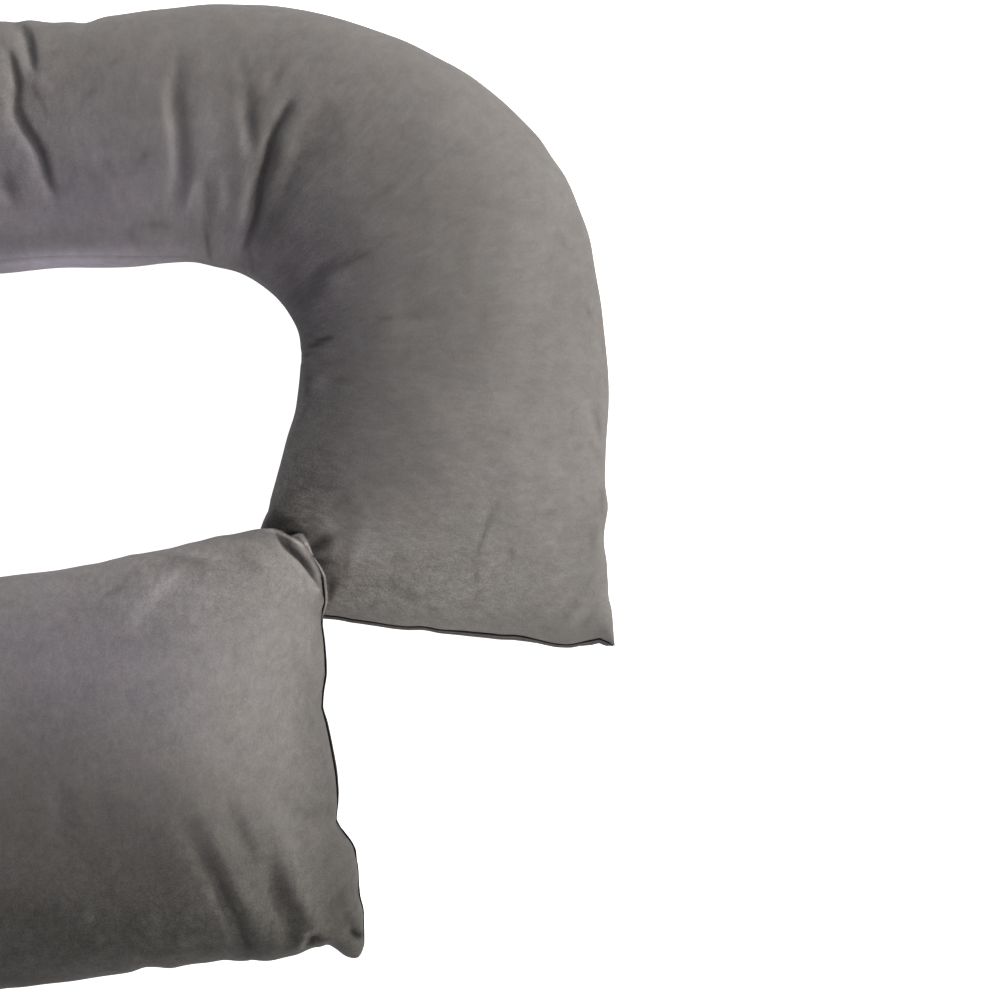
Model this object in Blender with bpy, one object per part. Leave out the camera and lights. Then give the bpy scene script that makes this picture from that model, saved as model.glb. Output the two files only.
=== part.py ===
"""A stuffed body pillow in velvet: one long curved cushion, cut from an upper and an under panel that
are sewn together all round. It lies on the floor with its two arms closed into a ring. The short arm
hooks round at +X, and the corner of the long, wide arm lies over the short arm's inner corner. Each
arm ends in a straight closing edge, with a narrow turned lip sewn along it.

Metres, +Z up. The floor is z = 0, and the origin is on it, under the middle of the pillow's box."""

from collections import namedtuple

import bmesh
import bpy
import numpy as np
from mathutils import Matrix

# The sections of the pillow, from the short arm's closing edge round to the long arm's. Each is
# upright, from a point of the outer side seam to one of the inner side seam. crown is the height of
# its top, and seam_out and seam_in are the heights of the two side seams.
Section = namedtuple("Section", "outer_x outer_y inner_x inner_y crown seam_out seam_in")
SECTIONS = [
    Section(0.562, -0.113, 0.253, -0.084, 0.120, 0.034, 0.030),
    Section(0.557, -0.060, 0.264, -0.051, 0.130, 0.050, 0.036),
    Section(0.554, -0.010, 0.278, -0.010, 0.142, 0.064, 0.050),
    Section(0.554, 0.040, 0.293, 0.038, 0.152, 0.073, 0.066),
    Section(0.556, 0.090, 0.306, 0.085, 0.160, 0.078, 0.078),
    Section(0.554, 0.140, 0.310, 0.118, 0.166, 0.081, 0.084),
    Section(0.544, 0.196, 0.309, 0.138, 0.170, 0.083, 0.087),
    Section(0.521, 0.262, 0.301, 0.153, 0.173, 0.084, 0.090),
    Section(0.479, 0.313, 0.289, 0.167, 0.175, 0.084, 0.092),
    Section(0.425, 0.354, 0.273, 0.178, 0.175, 0.084, 0.093),
    Section(0.360, 0.381, 0.256, 0.187, 0.174, 0.084, 0.094),
    Section(0.300, 0.396, 0.240, 0.191, 0.172, 0.084, 0.095),
    Section(0.250, 0.399, 0.222, 0.194, 0.171, 0.084, 0.097),
    Section(0.200, 0.395, 0.200, 0.193, 0.170, 0.084, 0.100),
    Section(0.160, 0.389, 0.170, 0.190, 0.170, 0.084, 0.102),
    Section(0.118, 0.384, 0.125, 0.189, 0.170, 0.084, 0.103),
    Section(0.070, 0.387, 0.070, 0.184, 0.171, 0.084, 0.102),
    Section(0.000, 0.385, 0.005, 0.180, 0.172, 0.084, 0.098),
    Section(-0.170, 0.360, -0.125, 0.153, 0.176, 0.084, 0.090),
    Section(-0.340, 0.292, -0.224, 0.104, 0.179, 0.086, 0.087),
    Section(-0.480, 0.171, -0.290, 0.038, 0.182, 0.087, 0.087),
    Section(-0.553, 0.020, -0.309, -0.016, 0.184, 0.088, 0.087),
    Section(-0.552, -0.140, -0.286, -0.054, 0.184, 0.088, 0.087),
    Section(-0.465, -0.288, -0.226, -0.073, 0.183, 0.088, 0.087),
    Section(-0.320, -0.371, -0.150, -0.078, 0.181, 0.086, 0.087),
    Section(-0.150, -0.401, -0.065, -0.075, 0.180, 0.085, 0.087),
    Section(0.000, -0.398, 0.030, -0.064, 0.177, 0.083, 0.087),
    Section(0.070, -0.390, 0.073, -0.058, 0.176, 0.081, 0.087),
    Section(0.130, -0.381, 0.122, -0.051, 0.175, 0.078, 0.088),
    Section(0.183, -0.373, 0.168, -0.042, 0.174, 0.074, 0.089),
    Section(0.230, -0.369, 0.205, -0.035, 0.174, 0.069, 0.090),
    Section(0.268, -0.369, 0.240, -0.027, 0.174, 0.062, 0.092),
    Section(0.298, -0.367, 0.272, -0.020, 0.172, 0.054, 0.093),
    Section(0.326, -0.360, 0.295, -0.022, 0.168, 0.046, 0.092),
    Section(0.351, -0.369, 0.309, -0.032, 0.160, 0.038, 0.090),
]

# How an arm is drawn in towards its closing edge: the length over which its thickness runs out, and
# how full it stays (0.5 is an ellipse, and a higher value is flatter).
Closing = namedtuple("Closing", "length fullness")
SHORT_CLOSING = Closing(0.170, 0.62)
LONG_CLOSING = Closing(0.125, 0.52)
EDGE_HALF_THICKNESS = 0.0025

# How far a closing edge stands out of its straight line, from its inner corner (0) to its outer (1).
Push = namedtuple("Push", "share out")
SHORT_EDGE = [
    Push(0.00, 0.000),
    Push(0.24, -0.001),
    Push(0.44, 0.000),
    Push(0.65, 0.002),
    Push(0.76, 0.001),
    Push(0.88, 0.004),
    Push(0.96, 0.001),
    Push(1.00, 0.000),
]
LONG_EDGE = [
    Push(0.00, 0.000),
    Push(0.09, 0.013),
    Push(0.18, 0.005),
    Push(0.27, 0.006),
    Push(0.39, -0.003),
    Push(0.60, -0.002),
    Push(0.70, -0.005),
    Push(0.76, 0.004),
    Push(0.92, 0.005),
    Push(1.00, 0.000),
]
PUSH_REACH = 0.040

# The shape of a section: 2 is an ellipse, and a higher value is fuller.
TOP_ROUNDNESS = 2.2
UNDER_ROUNDNESS = 2.8
# How the points of a section are spaced across it: below 1 they gather towards the two side seams.
SPACING = 0.85
# How far the underside would hang below the floor if it weren't pressed flat on it.
FLOOR_PRESS = 0.012

# Where the long arm's corner lies on the short arm's: a slope that rises from the short arm's inner
# corner, along BEARING. The long arm stays above it and the short arm below it.
BEARING_CORNER = np.array((0.259, -0.083))
BEARING = np.array((0.643, 0.766))
BEARING_HEIGHT = 0.046
BEARING_RISE = 0.34
BEARING_FOOT = 0.075
BEARING_GAP = 0.0025
LONG_ARM_EDGE_X, LONG_ARM_EDGE_Y = 0.330, -0.020
CLEAR_RISE = 1.5
SOFTNESS = 0.014

# Creases and ridges of the cover, each along a curve from start by bend to end. A depth above 0
# is a trough, and one below 0 is a ridge.
Fold = namedtuple("Fold", "start bend end width depth")
FOLDS = [
    Fold((0.089, 0.381), (0.105, 0.366), (0.107, 0.342), 0.009, 0.006),
    Fold((0.077, 0.380), (0.095, 0.355), (0.115, 0.325), 0.010, -0.004),
    Fold((0.084, 0.355), (0.099, 0.307), (0.126, 0.241), 0.010, 0.009),
    Fold((0.084, 0.327), (0.089, 0.296), (0.103, 0.261), 0.010, -0.004),
    Fold((0.218, 0.332), (0.221, 0.285), (0.223, 0.235), 0.010, 0.006),
    Fold((0.207, 0.325), (0.212, 0.285), (0.213, 0.240), 0.010, -0.003),
    Fold((0.240, 0.250), (0.241, 0.225), (0.238, 0.198), 0.009, 0.004),
    Fold((0.309, 0.315), (0.292, 0.272), (0.273, 0.207), 0.011, 0.010),
    Fold((0.271, 0.315), (0.273, 0.285), (0.278, 0.250), 0.011, -0.005),
    Fold((0.338, 0.323), (0.327, 0.287), (0.315, 0.249), 0.010, 0.004),
    Fold((0.317, 0.167), (0.335, 0.180), (0.354, 0.188), 0.010, 0.004),
    Fold((0.318, -0.040), (0.332, -0.043), (0.350, -0.043), 0.010, 0.006),
    Fold((0.290, -0.024), (0.312, -0.042), (0.322, -0.085), 0.008, 0.008),
    Fold((0.238, -0.270), (0.252, -0.320), (0.261, -0.360), 0.011, 0.006),
    Fold((0.241, -0.235), (0.262, -0.300), (0.272, -0.345), 0.012, -0.004),
    Fold((0.283, -0.272), (0.297, -0.308), (0.313, -0.345), 0.011, 0.006),
    Fold((0.010, 0.345), (0.000, 0.290), (0.012, 0.235), 0.012, 0.006),
    Fold((-0.075, 0.335), (-0.085, 0.280), (-0.062, 0.215), 0.013, 0.005),
    Fold((-0.200, 0.290), (-0.205, 0.235), (-0.175, 0.165), 0.013, 0.006),
    Fold((-0.330, 0.190), (-0.300, 0.150), (-0.250, 0.105), 0.014, 0.006),
    Fold((-0.420, 0.070), (-0.370, 0.045), (-0.318, 0.025), 0.014, 0.006),
    Fold((-0.420, -0.130), (-0.370, -0.100), (-0.315, -0.062), 0.014, 0.006),
    Fold((-0.285, -0.210), (-0.262, -0.150), (-0.240, -0.100), 0.014, 0.005),
    Fold((-0.110, -0.190), (-0.100, -0.140), (-0.090, -0.100), 0.014, 0.004),
]
FOLD_SAMPLES = 24
# Folds fade out over this length towards a closing edge.
FOLD_CLEAR = 0.014

# The narrow turned lip along each closing edge: its size, and the points of the edge it runs between.
LIP_WIDTH = 0.0055
LIP_HEIGHT = 0.0080
LIP_GROOVE = 0.0012
LIP_GAP = 0.0004
SHORT_LIP_FIRST, SHORT_LIP_LAST = 1, 19
LONG_LIP_FIRST, LONG_LIP_LAST = 1, 18
LIP_STEPS = 3

# The fineness of the pillow's mesh. The folded stretch is that of the upper tube at +Y.
CURVE_SAMPLES = 4000
POINTS_ROUND = 40
CLOSING_STEP = 0.003
STEP_GROWTH = 0.16
FOLDED_STEP = 0.0080
PLAIN_STEP = 0.022
FOLDED_FROM_X, FOLDED_TO_X = 0.050, 0.345

VELVET_GREY = (0.185, 0.178, 0.174, 1.0)
LIP_GREY = (0.150, 0.144, 0.141, 1.0)
VELVET_ROUGHNESS = 0.9


def through(rows, at):
    """Values on a smooth curve through rows, at fractional row numbers."""
    rows = np.asarray(rows, float)
    at = np.clip(np.asarray(at, float), 0, len(rows) - 1)
    first = np.minimum(at.astype(int), len(rows) - 2)
    share = (at - first)[:, None]
    before = rows[np.maximum(first - 1, 0)]
    start, end = rows[first], rows[first + 1]
    after = rows[np.minimum(first + 2, len(rows) - 1)]
    return 0.5 * (
        2 * start
        + (end - before) * share
        + (2 * before - 5 * start + 4 * end - after) * share**2
        + (3 * start - before - 3 * end + after) * share**3
    )


def sections_at(at):
    """The Section at fractional row numbers, each field an upright column of values."""
    return Section(*through(SECTIONS, at).T[:, :, None])


def seam_points(section):
    """The places of the outer and the inner side seam."""
    outer = np.concatenate([section.outer_x, section.outer_y], axis=1)
    inner = np.concatenate([section.inner_x, section.inner_y], axis=1)
    return outer, inner


def stations():
    """Fractional row numbers of the mesh's sections, close together where the shape changes fast."""
    fine = np.linspace(0, len(SECTIONS) - 1, CURVE_SAMPLES)
    outer, inner = seam_points(sections_at(fine))
    middle = (outer + inner) / 2
    along = np.concatenate([[0], np.cumsum(np.linalg.norm(np.diff(middle, axis=0), axis=1))])
    length = along[-1]
    places = [0.0]
    while places[-1] < length:
        here = places[-1]
        x, y = middle[np.searchsorted(along, here)]
        folded = y > 0 and FOLDED_FROM_X < x < FOLDED_TO_X
        to_edge = min(here, length - here)
        step = min(FOLDED_STEP if folded else PLAIN_STEP, CLOSING_STEP + STEP_GROWTH * to_edge)
        places.append(here + step)
    places = np.array(places) * length / places[-1]
    return np.interp(places, along, fine), places, length


def drawn_in(distance, closing):
    """The share of its full thickness that an arm has at a distance from its closing edge."""
    left = 1 - np.clip(distance / closing.length, 0, 1)
    return (1 - left**2) ** closing.fullness


def pushed(share, edge):
    """How far a closing edge stands out at a share of its length."""
    return np.interp(share, [row.share for row in edge], [row.out for row in edge])


def soft_lowest(a, b, softness=SOFTNESS):
    """The lower of two heights, with a rounded change from one to the other."""
    mix = np.clip(0.5 + 0.5 * (b - a) / softness, 0, 1)
    return b + (a - b) * mix - softness * mix * (1 - mix) / 2


def bearing(x, y):
    """The height of the slope that parts the two arms."""
    inward = (x - BEARING_CORNER[0]) * BEARING[0] + (y - BEARING_CORNER[1]) * BEARING[1]
    rising = BEARING_HEIGHT + BEARING_RISE * inward
    falling = BEARING_HEIGHT * (1 + inward / BEARING_FOOT)
    return np.where(inward > 0, rising, np.maximum(falling, 0))


def fold_depths(x, y):
    """The depth of the folds at places of the upper face."""
    depth = np.zeros_like(x)
    share = np.linspace(0, 1, FOLD_SAMPLES)
    for fold in FOLDS:
        start, bend, end = (np.array(p) for p in (fold.start, fold.bend, fold.end))
        weights = np.stack([(1 - share) ** 2, 2 * share * (1 - share), share**2], axis=1)
        curve = weights @ np.stack([start, 2 * bend - (start + end) / 2, end])
        away = np.hypot(x[..., None] - curve[:, 0], y[..., None] - curve[:, 1])
        nearest = away.argmin(axis=-1)
        fade = np.sqrt(np.sin(np.pi * share[nearest]).clip(0))
        depth += fold.depth * fade * np.exp(-((away.min(axis=-1) / fold.width) ** 2))
    return depth


def pillow_points():
    """The pillow's points, one row of POINTS_ROUND for each section. Point 0 is on the outer seam."""
    at, along, length = stations()
    section = sections_at(at)
    outer, inner = seam_points(section)
    middle, half = (outer + inner) / 2, (outer - inner) / 2
    turn = 2 * np.pi * np.arange(POINTS_ROUND) / POINTS_ROUND
    upper = np.sin(turn) >= 0
    roundness = np.where(upper, TOP_ROUNDNESS, UNDER_ROUNDNESS)
    across = np.sign(np.cos(turn)) * np.abs(np.cos(turn)) ** SPACING
    swell = (1 - np.abs(across) ** roundness) ** (1 / roundness)
    swell[[0, POINTS_ROUND // 2]] = 0
    full = np.minimum(
        drawn_in(along, SHORT_CLOSING), drawn_in(length - along, LONG_CLOSING)
    )[:, None]
    share = (across + 1) / 2
    seam = section.seam_in + (section.seam_out - section.seam_in) * share
    rise = (section.crown - seam) * full + EDGE_HALF_THICKNESS * (1 - full)
    fall = (seam + FLOOR_PRESS) * full + EDGE_HALF_THICKNESS * (1 - full)
    x = middle[:, 0:1] + half[:, 0:1] * across
    y = middle[:, 1:2] + half[:, 1:2] * across
    x, y = push_closing_edges(x, y, share, along, length, half)
    z = np.where(upper, seam + rise * swell, seam - fall * swell)
    return lay_down(x, y, z, upper, along, length)


def push_closing_edges(x, y, share, along, length, half):
    """The places with both closing edges pushed out of their straight lines."""
    for edge, to_edge, end, turn in (
        (SHORT_EDGE, along, 0, -1),
        (LONG_EDGE, length - along, -1, 1),
    ):
        chord = half[end] / np.linalg.norm(half[end])
        out = np.array((-chord[1], chord[0])) * turn
        amount = pushed(share, edge)[None, :] * np.exp(-to_edge / PUSH_REACH)[:, None]
        x = x + out[0] * amount
        y = y + out[1] * amount
    return x, y


def lay_down(x, y, z, upper, along, length):
    """The pillow pressed on the floor and on itself, with its folds sunk in."""
    short_arm = (along < length / 4)[:, None]
    long_arm = (along > 3 * length / 4)[:, None]
    slope = bearing(x, y)
    outside = np.maximum(x - LONG_ARM_EDGE_X, y - LONG_ARM_EDGE_Y)
    ceiling = slope - BEARING_GAP + CLEAR_RISE * np.maximum(outside, 0)
    z = np.where(short_arm, soft_lowest(z, ceiling), z)
    floor = np.where(long_arm, np.where(slope > 0, slope + BEARING_GAP, 0), 0)
    z = np.maximum(z, floor)
    points = np.stack([x, y, z], axis=-1)
    along_step = np.gradient(points, axis=0)
    round_step = np.roll(points, -1, axis=1) - np.roll(points, 1, axis=1)
    normal = np.cross(round_step, along_step)
    normal /= np.maximum(np.linalg.norm(normal, axis=-1, keepdims=True), 1e-12)
    normal *= np.sign(normal[:, POINTS_ROUND // 4, 2])[:, None, None]
    from_edge = np.minimum(along, length - along)[:, None]
    sunk = fold_depths(x, y) * upper * np.clip(from_edge / FOLD_CLEAR, 0, 1)
    return points - normal * sunk[..., None]


def mesh_object(name, points, faces, colour):
    """A closed mesh object with its own velvet."""
    mesh = bpy.data.meshes.new(name)
    mesh.from_pydata([tuple(map(float, p)) for p in points], [], faces)
    work = bmesh.new()
    work.from_mesh(mesh)
    bmesh.ops.recalc_face_normals(work, faces=work.faces)
    work.to_mesh(mesh)
    work.free()
    mesh.shade_smooth()
    made = bpy.data.objects.new(name, mesh)
    bpy.context.scene.collection.objects.link(made)
    material = bpy.data.materials.new(name)
    material.use_nodes = True
    shader = material.node_tree.nodes["Principled BSDF"]
    shader.inputs["Base Color"].default_value = colour
    shader.inputs["Roughness"].default_value = VELVET_ROUGHNESS
    shader.inputs["Metallic"].default_value = 0.0
    mesh.materials.append(material)
    return made


def ring_faces(count, around):
    """Quads between count rings of around points each."""
    return [
        (
            i * around + j,
            i * around + (j + 1) % around,
            (i + 1) * around + (j + 1) % around,
            (i + 1) * around + j,
        )
        for i in range(count - 1)
        for j in range(around)
    ]


def edge_cap(first, around):
    """The narrow face of a closing edge, between the upper and the under half of its ring."""
    half = around // 2
    faces = [(first, first + 1, first + around - 1)]
    for j in range(1, half - 1):
        faces.append((first + j, first + j + 1, first + around - j - 1, first + around - j))
    faces.append((first + half - 1, first + half, first + half + 1))
    return faces


def make_pillow(points):
    count = len(points)
    last = (count - 1) * POINTS_ROUND
    faces = ring_faces(count, POINTS_ROUND)
    faces += edge_cap(0, POINTS_ROUND) + edge_cap(last, POINTS_ROUND)
    return mesh_object("pillow", points.reshape(-1, 3), faces, VELVET_GREY)


def lip_line(edge, first, last):
    """The middle of a closing edge between two of its points, and the way to its left."""
    half = POINTS_ROUND // 2
    under = np.concatenate([edge[:1], edge[half:][::-1]])
    middle = (edge[: half + 1] + under) / 2
    at = np.arange(first, last + 0.01, 1 / LIP_STEPS)
    line = np.stack([np.interp(at, np.arange(half + 1), middle[:, k]) for k in range(3)], axis=1)
    along = np.gradient(line[:, 0:2], axis=0)
    left = np.stack([-along[:, 1], along[:, 0]], axis=1)
    return line, left / np.linalg.norm(left, axis=1, keepdims=True)


def make_lip(name, edge, first, last, side):
    """A turned lip: two rolls of cloth, one over the other, along a closing edge."""
    line, left = lip_line(edge, first, last)
    out = left * side
    count = len(line)
    profile = [
        (0.0, -0.30),
        (0.45, -0.50),
        (1.0, -0.30),
        (1.0 - LIP_GROOVE / LIP_WIDTH, 0.0),
        (1.0, 0.30),
        (0.45, 0.50),
        (0.0, 0.30),
    ]
    points = []
    for i, (place, way) in enumerate(zip(line, out)):
        taper = min(1.0, 0.35 + 0.65 * min(i, count - 1 - i) / LIP_STEPS)
        for away, up in profile:
            reach = LIP_GAP + LIP_WIDTH * taper * away
            height = LIP_HEIGHT * taper * up
            points.append((place[0] + way[0] * reach, place[1] + way[1] * reach, place[2] + height))
    around = len(profile)
    end_ring = (count - 1) * around
    faces = ring_faces(count, around)
    faces += [tuple(range(around)), tuple(end_ring + j for j in range(around))]
    return mesh_object(name, points, faces, LIP_GREY)


def stand_on_origin(made):
    """Moves the pieces level, so that the origin is under the middle of their box."""
    corners = np.array([tuple(vertex.co) for one in made for vertex in one.data.vertices])
    middle = (corners.min(axis=0) + corners.max(axis=0)) / 2
    shift = Matrix.Translation((-float(middle[0]), -float(middle[1]), 0.0))
    for one in made:
        one.data.transform(shift)


def main():
    for old in list(bpy.data.objects):
        bpy.data.objects.remove(old)
    points = pillow_points()
    short_edge, long_edge = points[0], points[-1]
    stand_on_origin(
        [
            make_pillow(points),
            make_lip("closing_lip_short_arm", short_edge, SHORT_LIP_FIRST, SHORT_LIP_LAST, 1),
            make_lip("closing_lip_long_arm", long_edge, LONG_LIP_FIRST, LONG_LIP_LAST, -1),
        ]
    )


main()
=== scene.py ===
"""A stuffed velvet body pillow, laid round into a ring on a pale studio floor, seen from above.

Metres, +Z up, floor at z = 0. The longer tables are written in millimetres, and their strengths in
tenths. The pillow's sections, closing edges and the slope between its arms repeat the solid's own
values; the folds, seams, puckers and pile are made here."""

from collections import namedtuple

import bmesh
import bpy
import numpy as np
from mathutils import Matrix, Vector, noise


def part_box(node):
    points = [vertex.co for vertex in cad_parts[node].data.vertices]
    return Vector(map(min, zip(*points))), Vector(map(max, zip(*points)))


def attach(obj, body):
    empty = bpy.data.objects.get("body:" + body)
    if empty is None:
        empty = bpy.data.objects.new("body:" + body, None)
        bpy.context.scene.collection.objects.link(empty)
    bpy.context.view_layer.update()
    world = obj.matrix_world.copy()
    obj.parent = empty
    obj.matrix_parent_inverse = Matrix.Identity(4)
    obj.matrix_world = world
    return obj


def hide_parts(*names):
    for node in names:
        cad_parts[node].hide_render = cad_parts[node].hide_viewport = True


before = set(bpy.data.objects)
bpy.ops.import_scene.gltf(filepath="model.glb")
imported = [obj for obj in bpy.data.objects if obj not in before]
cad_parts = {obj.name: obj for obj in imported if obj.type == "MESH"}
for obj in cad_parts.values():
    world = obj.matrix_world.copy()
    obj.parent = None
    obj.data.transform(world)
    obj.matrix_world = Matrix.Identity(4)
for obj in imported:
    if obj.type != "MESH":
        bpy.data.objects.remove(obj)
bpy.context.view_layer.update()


def metres(kind, *rows):
    """A table of one kind of row, from millimetres."""
    return [kind(*(value / 1000 for value in row)) for row in rows]


# ---- The pillow's form, as the solid has it ----
Section = namedtuple("Section", "outer_x outer_y inner_x inner_y crown seam_out seam_in")
SECTIONS = metres(
    Section,
    (562, -113, 253, -84, 120, 34, 30), (557, -60, 264, -51, 130, 50, 36),
    (554, -10, 278, -10, 142, 64, 50), (554, 40, 293, 38, 152, 73, 66),
    (556, 90, 306, 85, 160, 78, 78), (554, 140, 310, 118, 166, 81, 84),
    (544, 196, 309, 138, 170, 83, 87), (521, 262, 301, 153, 173, 84, 90),
    (479, 313, 289, 167, 175, 84, 92), (425, 354, 273, 178, 175, 84, 93),
    (360, 381, 256, 187, 174, 84, 94), (300, 396, 240, 191, 172, 84, 95),
    (250, 399, 222, 194, 171, 84, 97), (200, 395, 200, 193, 170, 84, 100),
    (160, 389, 170, 190, 170, 84, 102), (118, 384, 125, 189, 170, 84, 103),
    (70, 387, 70, 184, 171, 84, 102), (0, 385, 5, 180, 172, 84, 98),
    (-170, 360, -125, 153, 176, 84, 90), (-340, 292, -224, 104, 179, 86, 87),
    (-480, 171, -290, 38, 182, 87, 87), (-553, 20, -309, -16, 184, 88, 87),
    (-552, -140, -286, -54, 184, 88, 87), (-465, -288, -226, -73, 183, 88, 87),
    (-320, -371, -150, -78, 181, 86, 87), (-150, -401, -65, -75, 180, 85, 87),
    (0, -398, 30, -64, 177, 83, 87), (70, -390, 73, -58, 176, 81, 87),
    (130, -381, 122, -51, 175, 78, 88), (183, -373, 168, -42, 174, 74, 89),
    (230, -369, 205, -35, 174, 69, 90), (268, -369, 240, -27, 174, 62, 92),
    (298, -367, 272, -20, 172, 54, 93), (326, -360, 295, -22, 168, 46, 92),
    (351, -369, 309, -32, 160, 38, 90),
)
LAST_ROW = len(SECTIONS) - 1

Closing = namedtuple("Closing", "length fullness")
SHORT_CLOSING = Closing(0.170, 0.62)
LONG_CLOSING = Closing(0.125, 0.52)
EDGE_HALF_THICKNESS = 0.0025

# Where the upper panel's closing edges run on the table, from the inner side seam to the outer one.
Edge = namedtuple("Edge", "x y")
SHORT_EDGE = metres(
    Edge,
    (247.3, -85.5), (273.6, -87.9), (304.9, -89.5), (329.5, -91.3), (339, -92.3), (347.2, -94.1),
    (358.2, -95.6), (370.9, -97.5), (381.9, -99.2), (392.7, -100.3), (401.7, -100), (409.1, -100.6),
    (421, -102.8), (436.2, -103.6), (448, -104.7), (460.8, -105.8), (470.6, -106.9),
    (483.6, -107.1), (490.9, -108.6), (498.2, -110.4), (507.3, -112.7), (516.4, -114.4),
    (525.6, -114.8), (534.6, -113.2), (543.6, -110.9), (549.3, -109.6), (554.6, -111),
    (559.1, -113.6), (563.2, -116.8),
)
LONG_EDGE = metres(
    Edge,
    (312.6, -31.1), (315.7, -35.5), (318.3, -40.3), (320.4, -44.7), (323, -50), (325.1, -55.6),
    (326, -60.8), (326.2, -66.8), (327.3, -72.9), (328.2, -77.7), (326.9, -82.5), (324.4, -88.2),
    (324.7, -91.4), (325.4, -96.3), (326.9, -109.2), (327.6, -121.3), (328.1, -131.9),
    (327.7, -140), (325.9, -149.8), (324.8, -160.3), (325.5, -167.7), (327.5, -174.2),
    (329.2, -182.4), (330.8, -190.6), (333.8, -207.8), (335.7, -220.1), (336.6, -232.4),
    (337.1, -244), (336.5, -252.2), (336.1, -259.6), (342, -267.5), (348.6, -276.3), (352.6, -292),
    (353.7, -302.8), (353, -312.8), (354.3, -321.1), (357.1, -330.3), (357.4, -341.1),
    (357.8, -354.5), (357.4, -362.9), (355.6, -367.5), (353.3, -370.5), (350.7, -371.3),
    (348.4, -371.2),
)
EDGE_REACH = 0.040
EDGE_PLACES = 401
DETAIL_REACH = 0.012
DETAIL_SHARE = 0.05

# Soft dents and bulges of the outline: how far the cloth within reach of a place is moved.
Nudge = namedtuple("Nudge", "x y reach east north")
BEND_NUDGES = metres(
    Nudge,
    (73, 387, 14, 0, -3.2), (86, 386, 7, 0, -1.8), (141, 386, 11, 0, -3.6), (117, 386, 16, 0, -1),
    (269, 400, 24, 0, -1.4), (421, 356, 22, -1, -1.9), (511, 277, 13, -1.4, -0.9),
    (540, 213, 24, 2.6, 1.1), (552, 132, 26, -2.1, 0), (556, -2, 12, 2.7, 0),
    (552, -33, 13, -1.8, 0), (556, -61, 12, -1.3, 0), (556, -76, 8, -1.8, 0),
    (131, 188, 28, 0, -0.8), (211, 192, 16, 0, 0.6), (266, 182, 16, 0.8, 1),
    (305, 143, 10, -0.8, 0), (302, 72, 13, 1.5, 0), (280, -5, 6, 1.3, 0),
)
LONG_ARM_NUDGES = metres(
    Nudge,
    (149, -46, 11, 0, -1), (173, -40, 6, 0, 0.6), (242, -26, 11, 0, 1.9), (72, -388, 16, 0, 2.9),
    (104, -384, 20, 0, 1.2), (185, -372, 8, 0, 2.6), (207, -373, 7, 0, -1.3),
    (249, -367, 13, 0, 3.4), (300, -366, 16, 0, 3.7), (314, -363, 7, 0, 2.7),
    (329, -360, 7, 0, 5.3), (343, -367, 6, 0.2, -1), (319, -362, 4, 0, 1.4), (337, -364, 6, 0, 1.3),
    (271, -369, 11, 0, 2.3), (195, -372, 7, 0, 1.2), (227, -370, 10, 0, 0.9),
    (221, -31, 11, 0, 1.2), (301, -23, 7, 0, -3.2),
)
FIRST_LONG_ROW = 25

TOP_ROUNDNESS = 2.2
UNDER_ROUNDNESS = 2.8
FLOOR_PRESS = 0.012

# The slope that parts the two arms where the long arm's corner lies over the short arm.
BEARING_CORNER = np.array((0.259, -0.083))
BEARING = np.array((0.643, 0.766))  # the way inward, in which the slope rises
BEARING_HEIGHT = 0.046
BEARING_RISE = 0.34
BEARING_FOOT = 0.075
BEARING_GAP = 0.0025
LONG_ARM_EDGE_X, LONG_ARM_EDGE_Y = 0.330, -0.020
CLEAR_RISE = 1.5
SOFTNESS = 0.014
CORNER_ROUNDING = 0.060
SHARP, ARRIS_ROUNDING, FOOT_ROUNDING = 0.0001, 0.010, 0.030

# ---- Mesh of the cover ----
# The step between sections of the mesh, by row of SECTIONS.
Step = namedtuple("Step", "row metres")
STEPS = [
    Step(0, 0.0013), Step(0.3, 0.0022), Step(0.8, 0.004), Step(2, 0.0048), Step(7, 0.0048),
    Step(9, 0.0034), Step(9.8, 0.0017), Step(16.4, 0.0017), Step(17.3, 0.006), Step(19, 0.009),
    Step(26, 0.009), Step(27.5, 0.0038), Step(32, 0.003), Step(32.7, 0.0013), Step(34, 0.0012),
]
ROW_PLACES = 6000
UPPER_POINTS = 160
UNDER_POINTS = 28
RING = UPPER_POINTS + UNDER_POINTS
DENSE = 720
CROWDING_PLACES = 240
SEAM_REACH = 0.007
SEAM_CROWDING = 1.6
CORNER_REACH = 0.046
EAR_REACH = 0.026
CORNER_CROWDING = 1.7
CORNER_ROWS = (31.8, 33.0)

# How far up the section, from its widest place, the inner side seam runs.
Rise = namedtuple("Rise", "row metres")
INNER_SEAM_RISE = [
    Rise(0, 0), Rise(9, 0), Rise(12, 0.012), Rise(14, 0.022), Rise(17, 0.03), Rise(19, 0.008),
    Rise(21, 0), Rise(34, 0),
]
SEAM_DEPTH = 0.0011
SEAM_WIDTH = 0.0013
SEAM_SHADE = 0.22
SEAM_CLEAR = 0.02
# How much shorter the pile's streaks are along the pillow than across it, by row of SECTIONS.
DRAW_ROWS = (0, 2, 5, 16, 20, 26)
DRAW = (0.75, 0.50, 0.32, 0.42, 0.65, 0.65)


def through(rows, at):
    """Values on a smooth curve through rows, at fractional row numbers."""
    rows = np.asarray(rows, float)
    at = np.clip(np.asarray(at, float), 0, len(rows) - 1)
    first = np.minimum(at.astype(int), len(rows) - 2)
    share = (at - first)[:, None]
    before = rows[np.maximum(first - 1, 0)]
    start, end = rows[first], rows[first + 1]
    after = rows[np.minimum(first + 2, len(rows) - 1)]
    return 0.5 * (
        2 * start
        + (end - before) * share
        + (2 * before - 5 * start + 4 * end - after) * share**2
        + (3 * start - before - 3 * end + after) * share**3
    )


def curve(rows, steps):
    """A smooth curve through rows, with a number of steps from each row to the next."""
    last = len(rows) - 1
    return through(rows, np.linspace(0, last, last * steps + 1))


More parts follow.
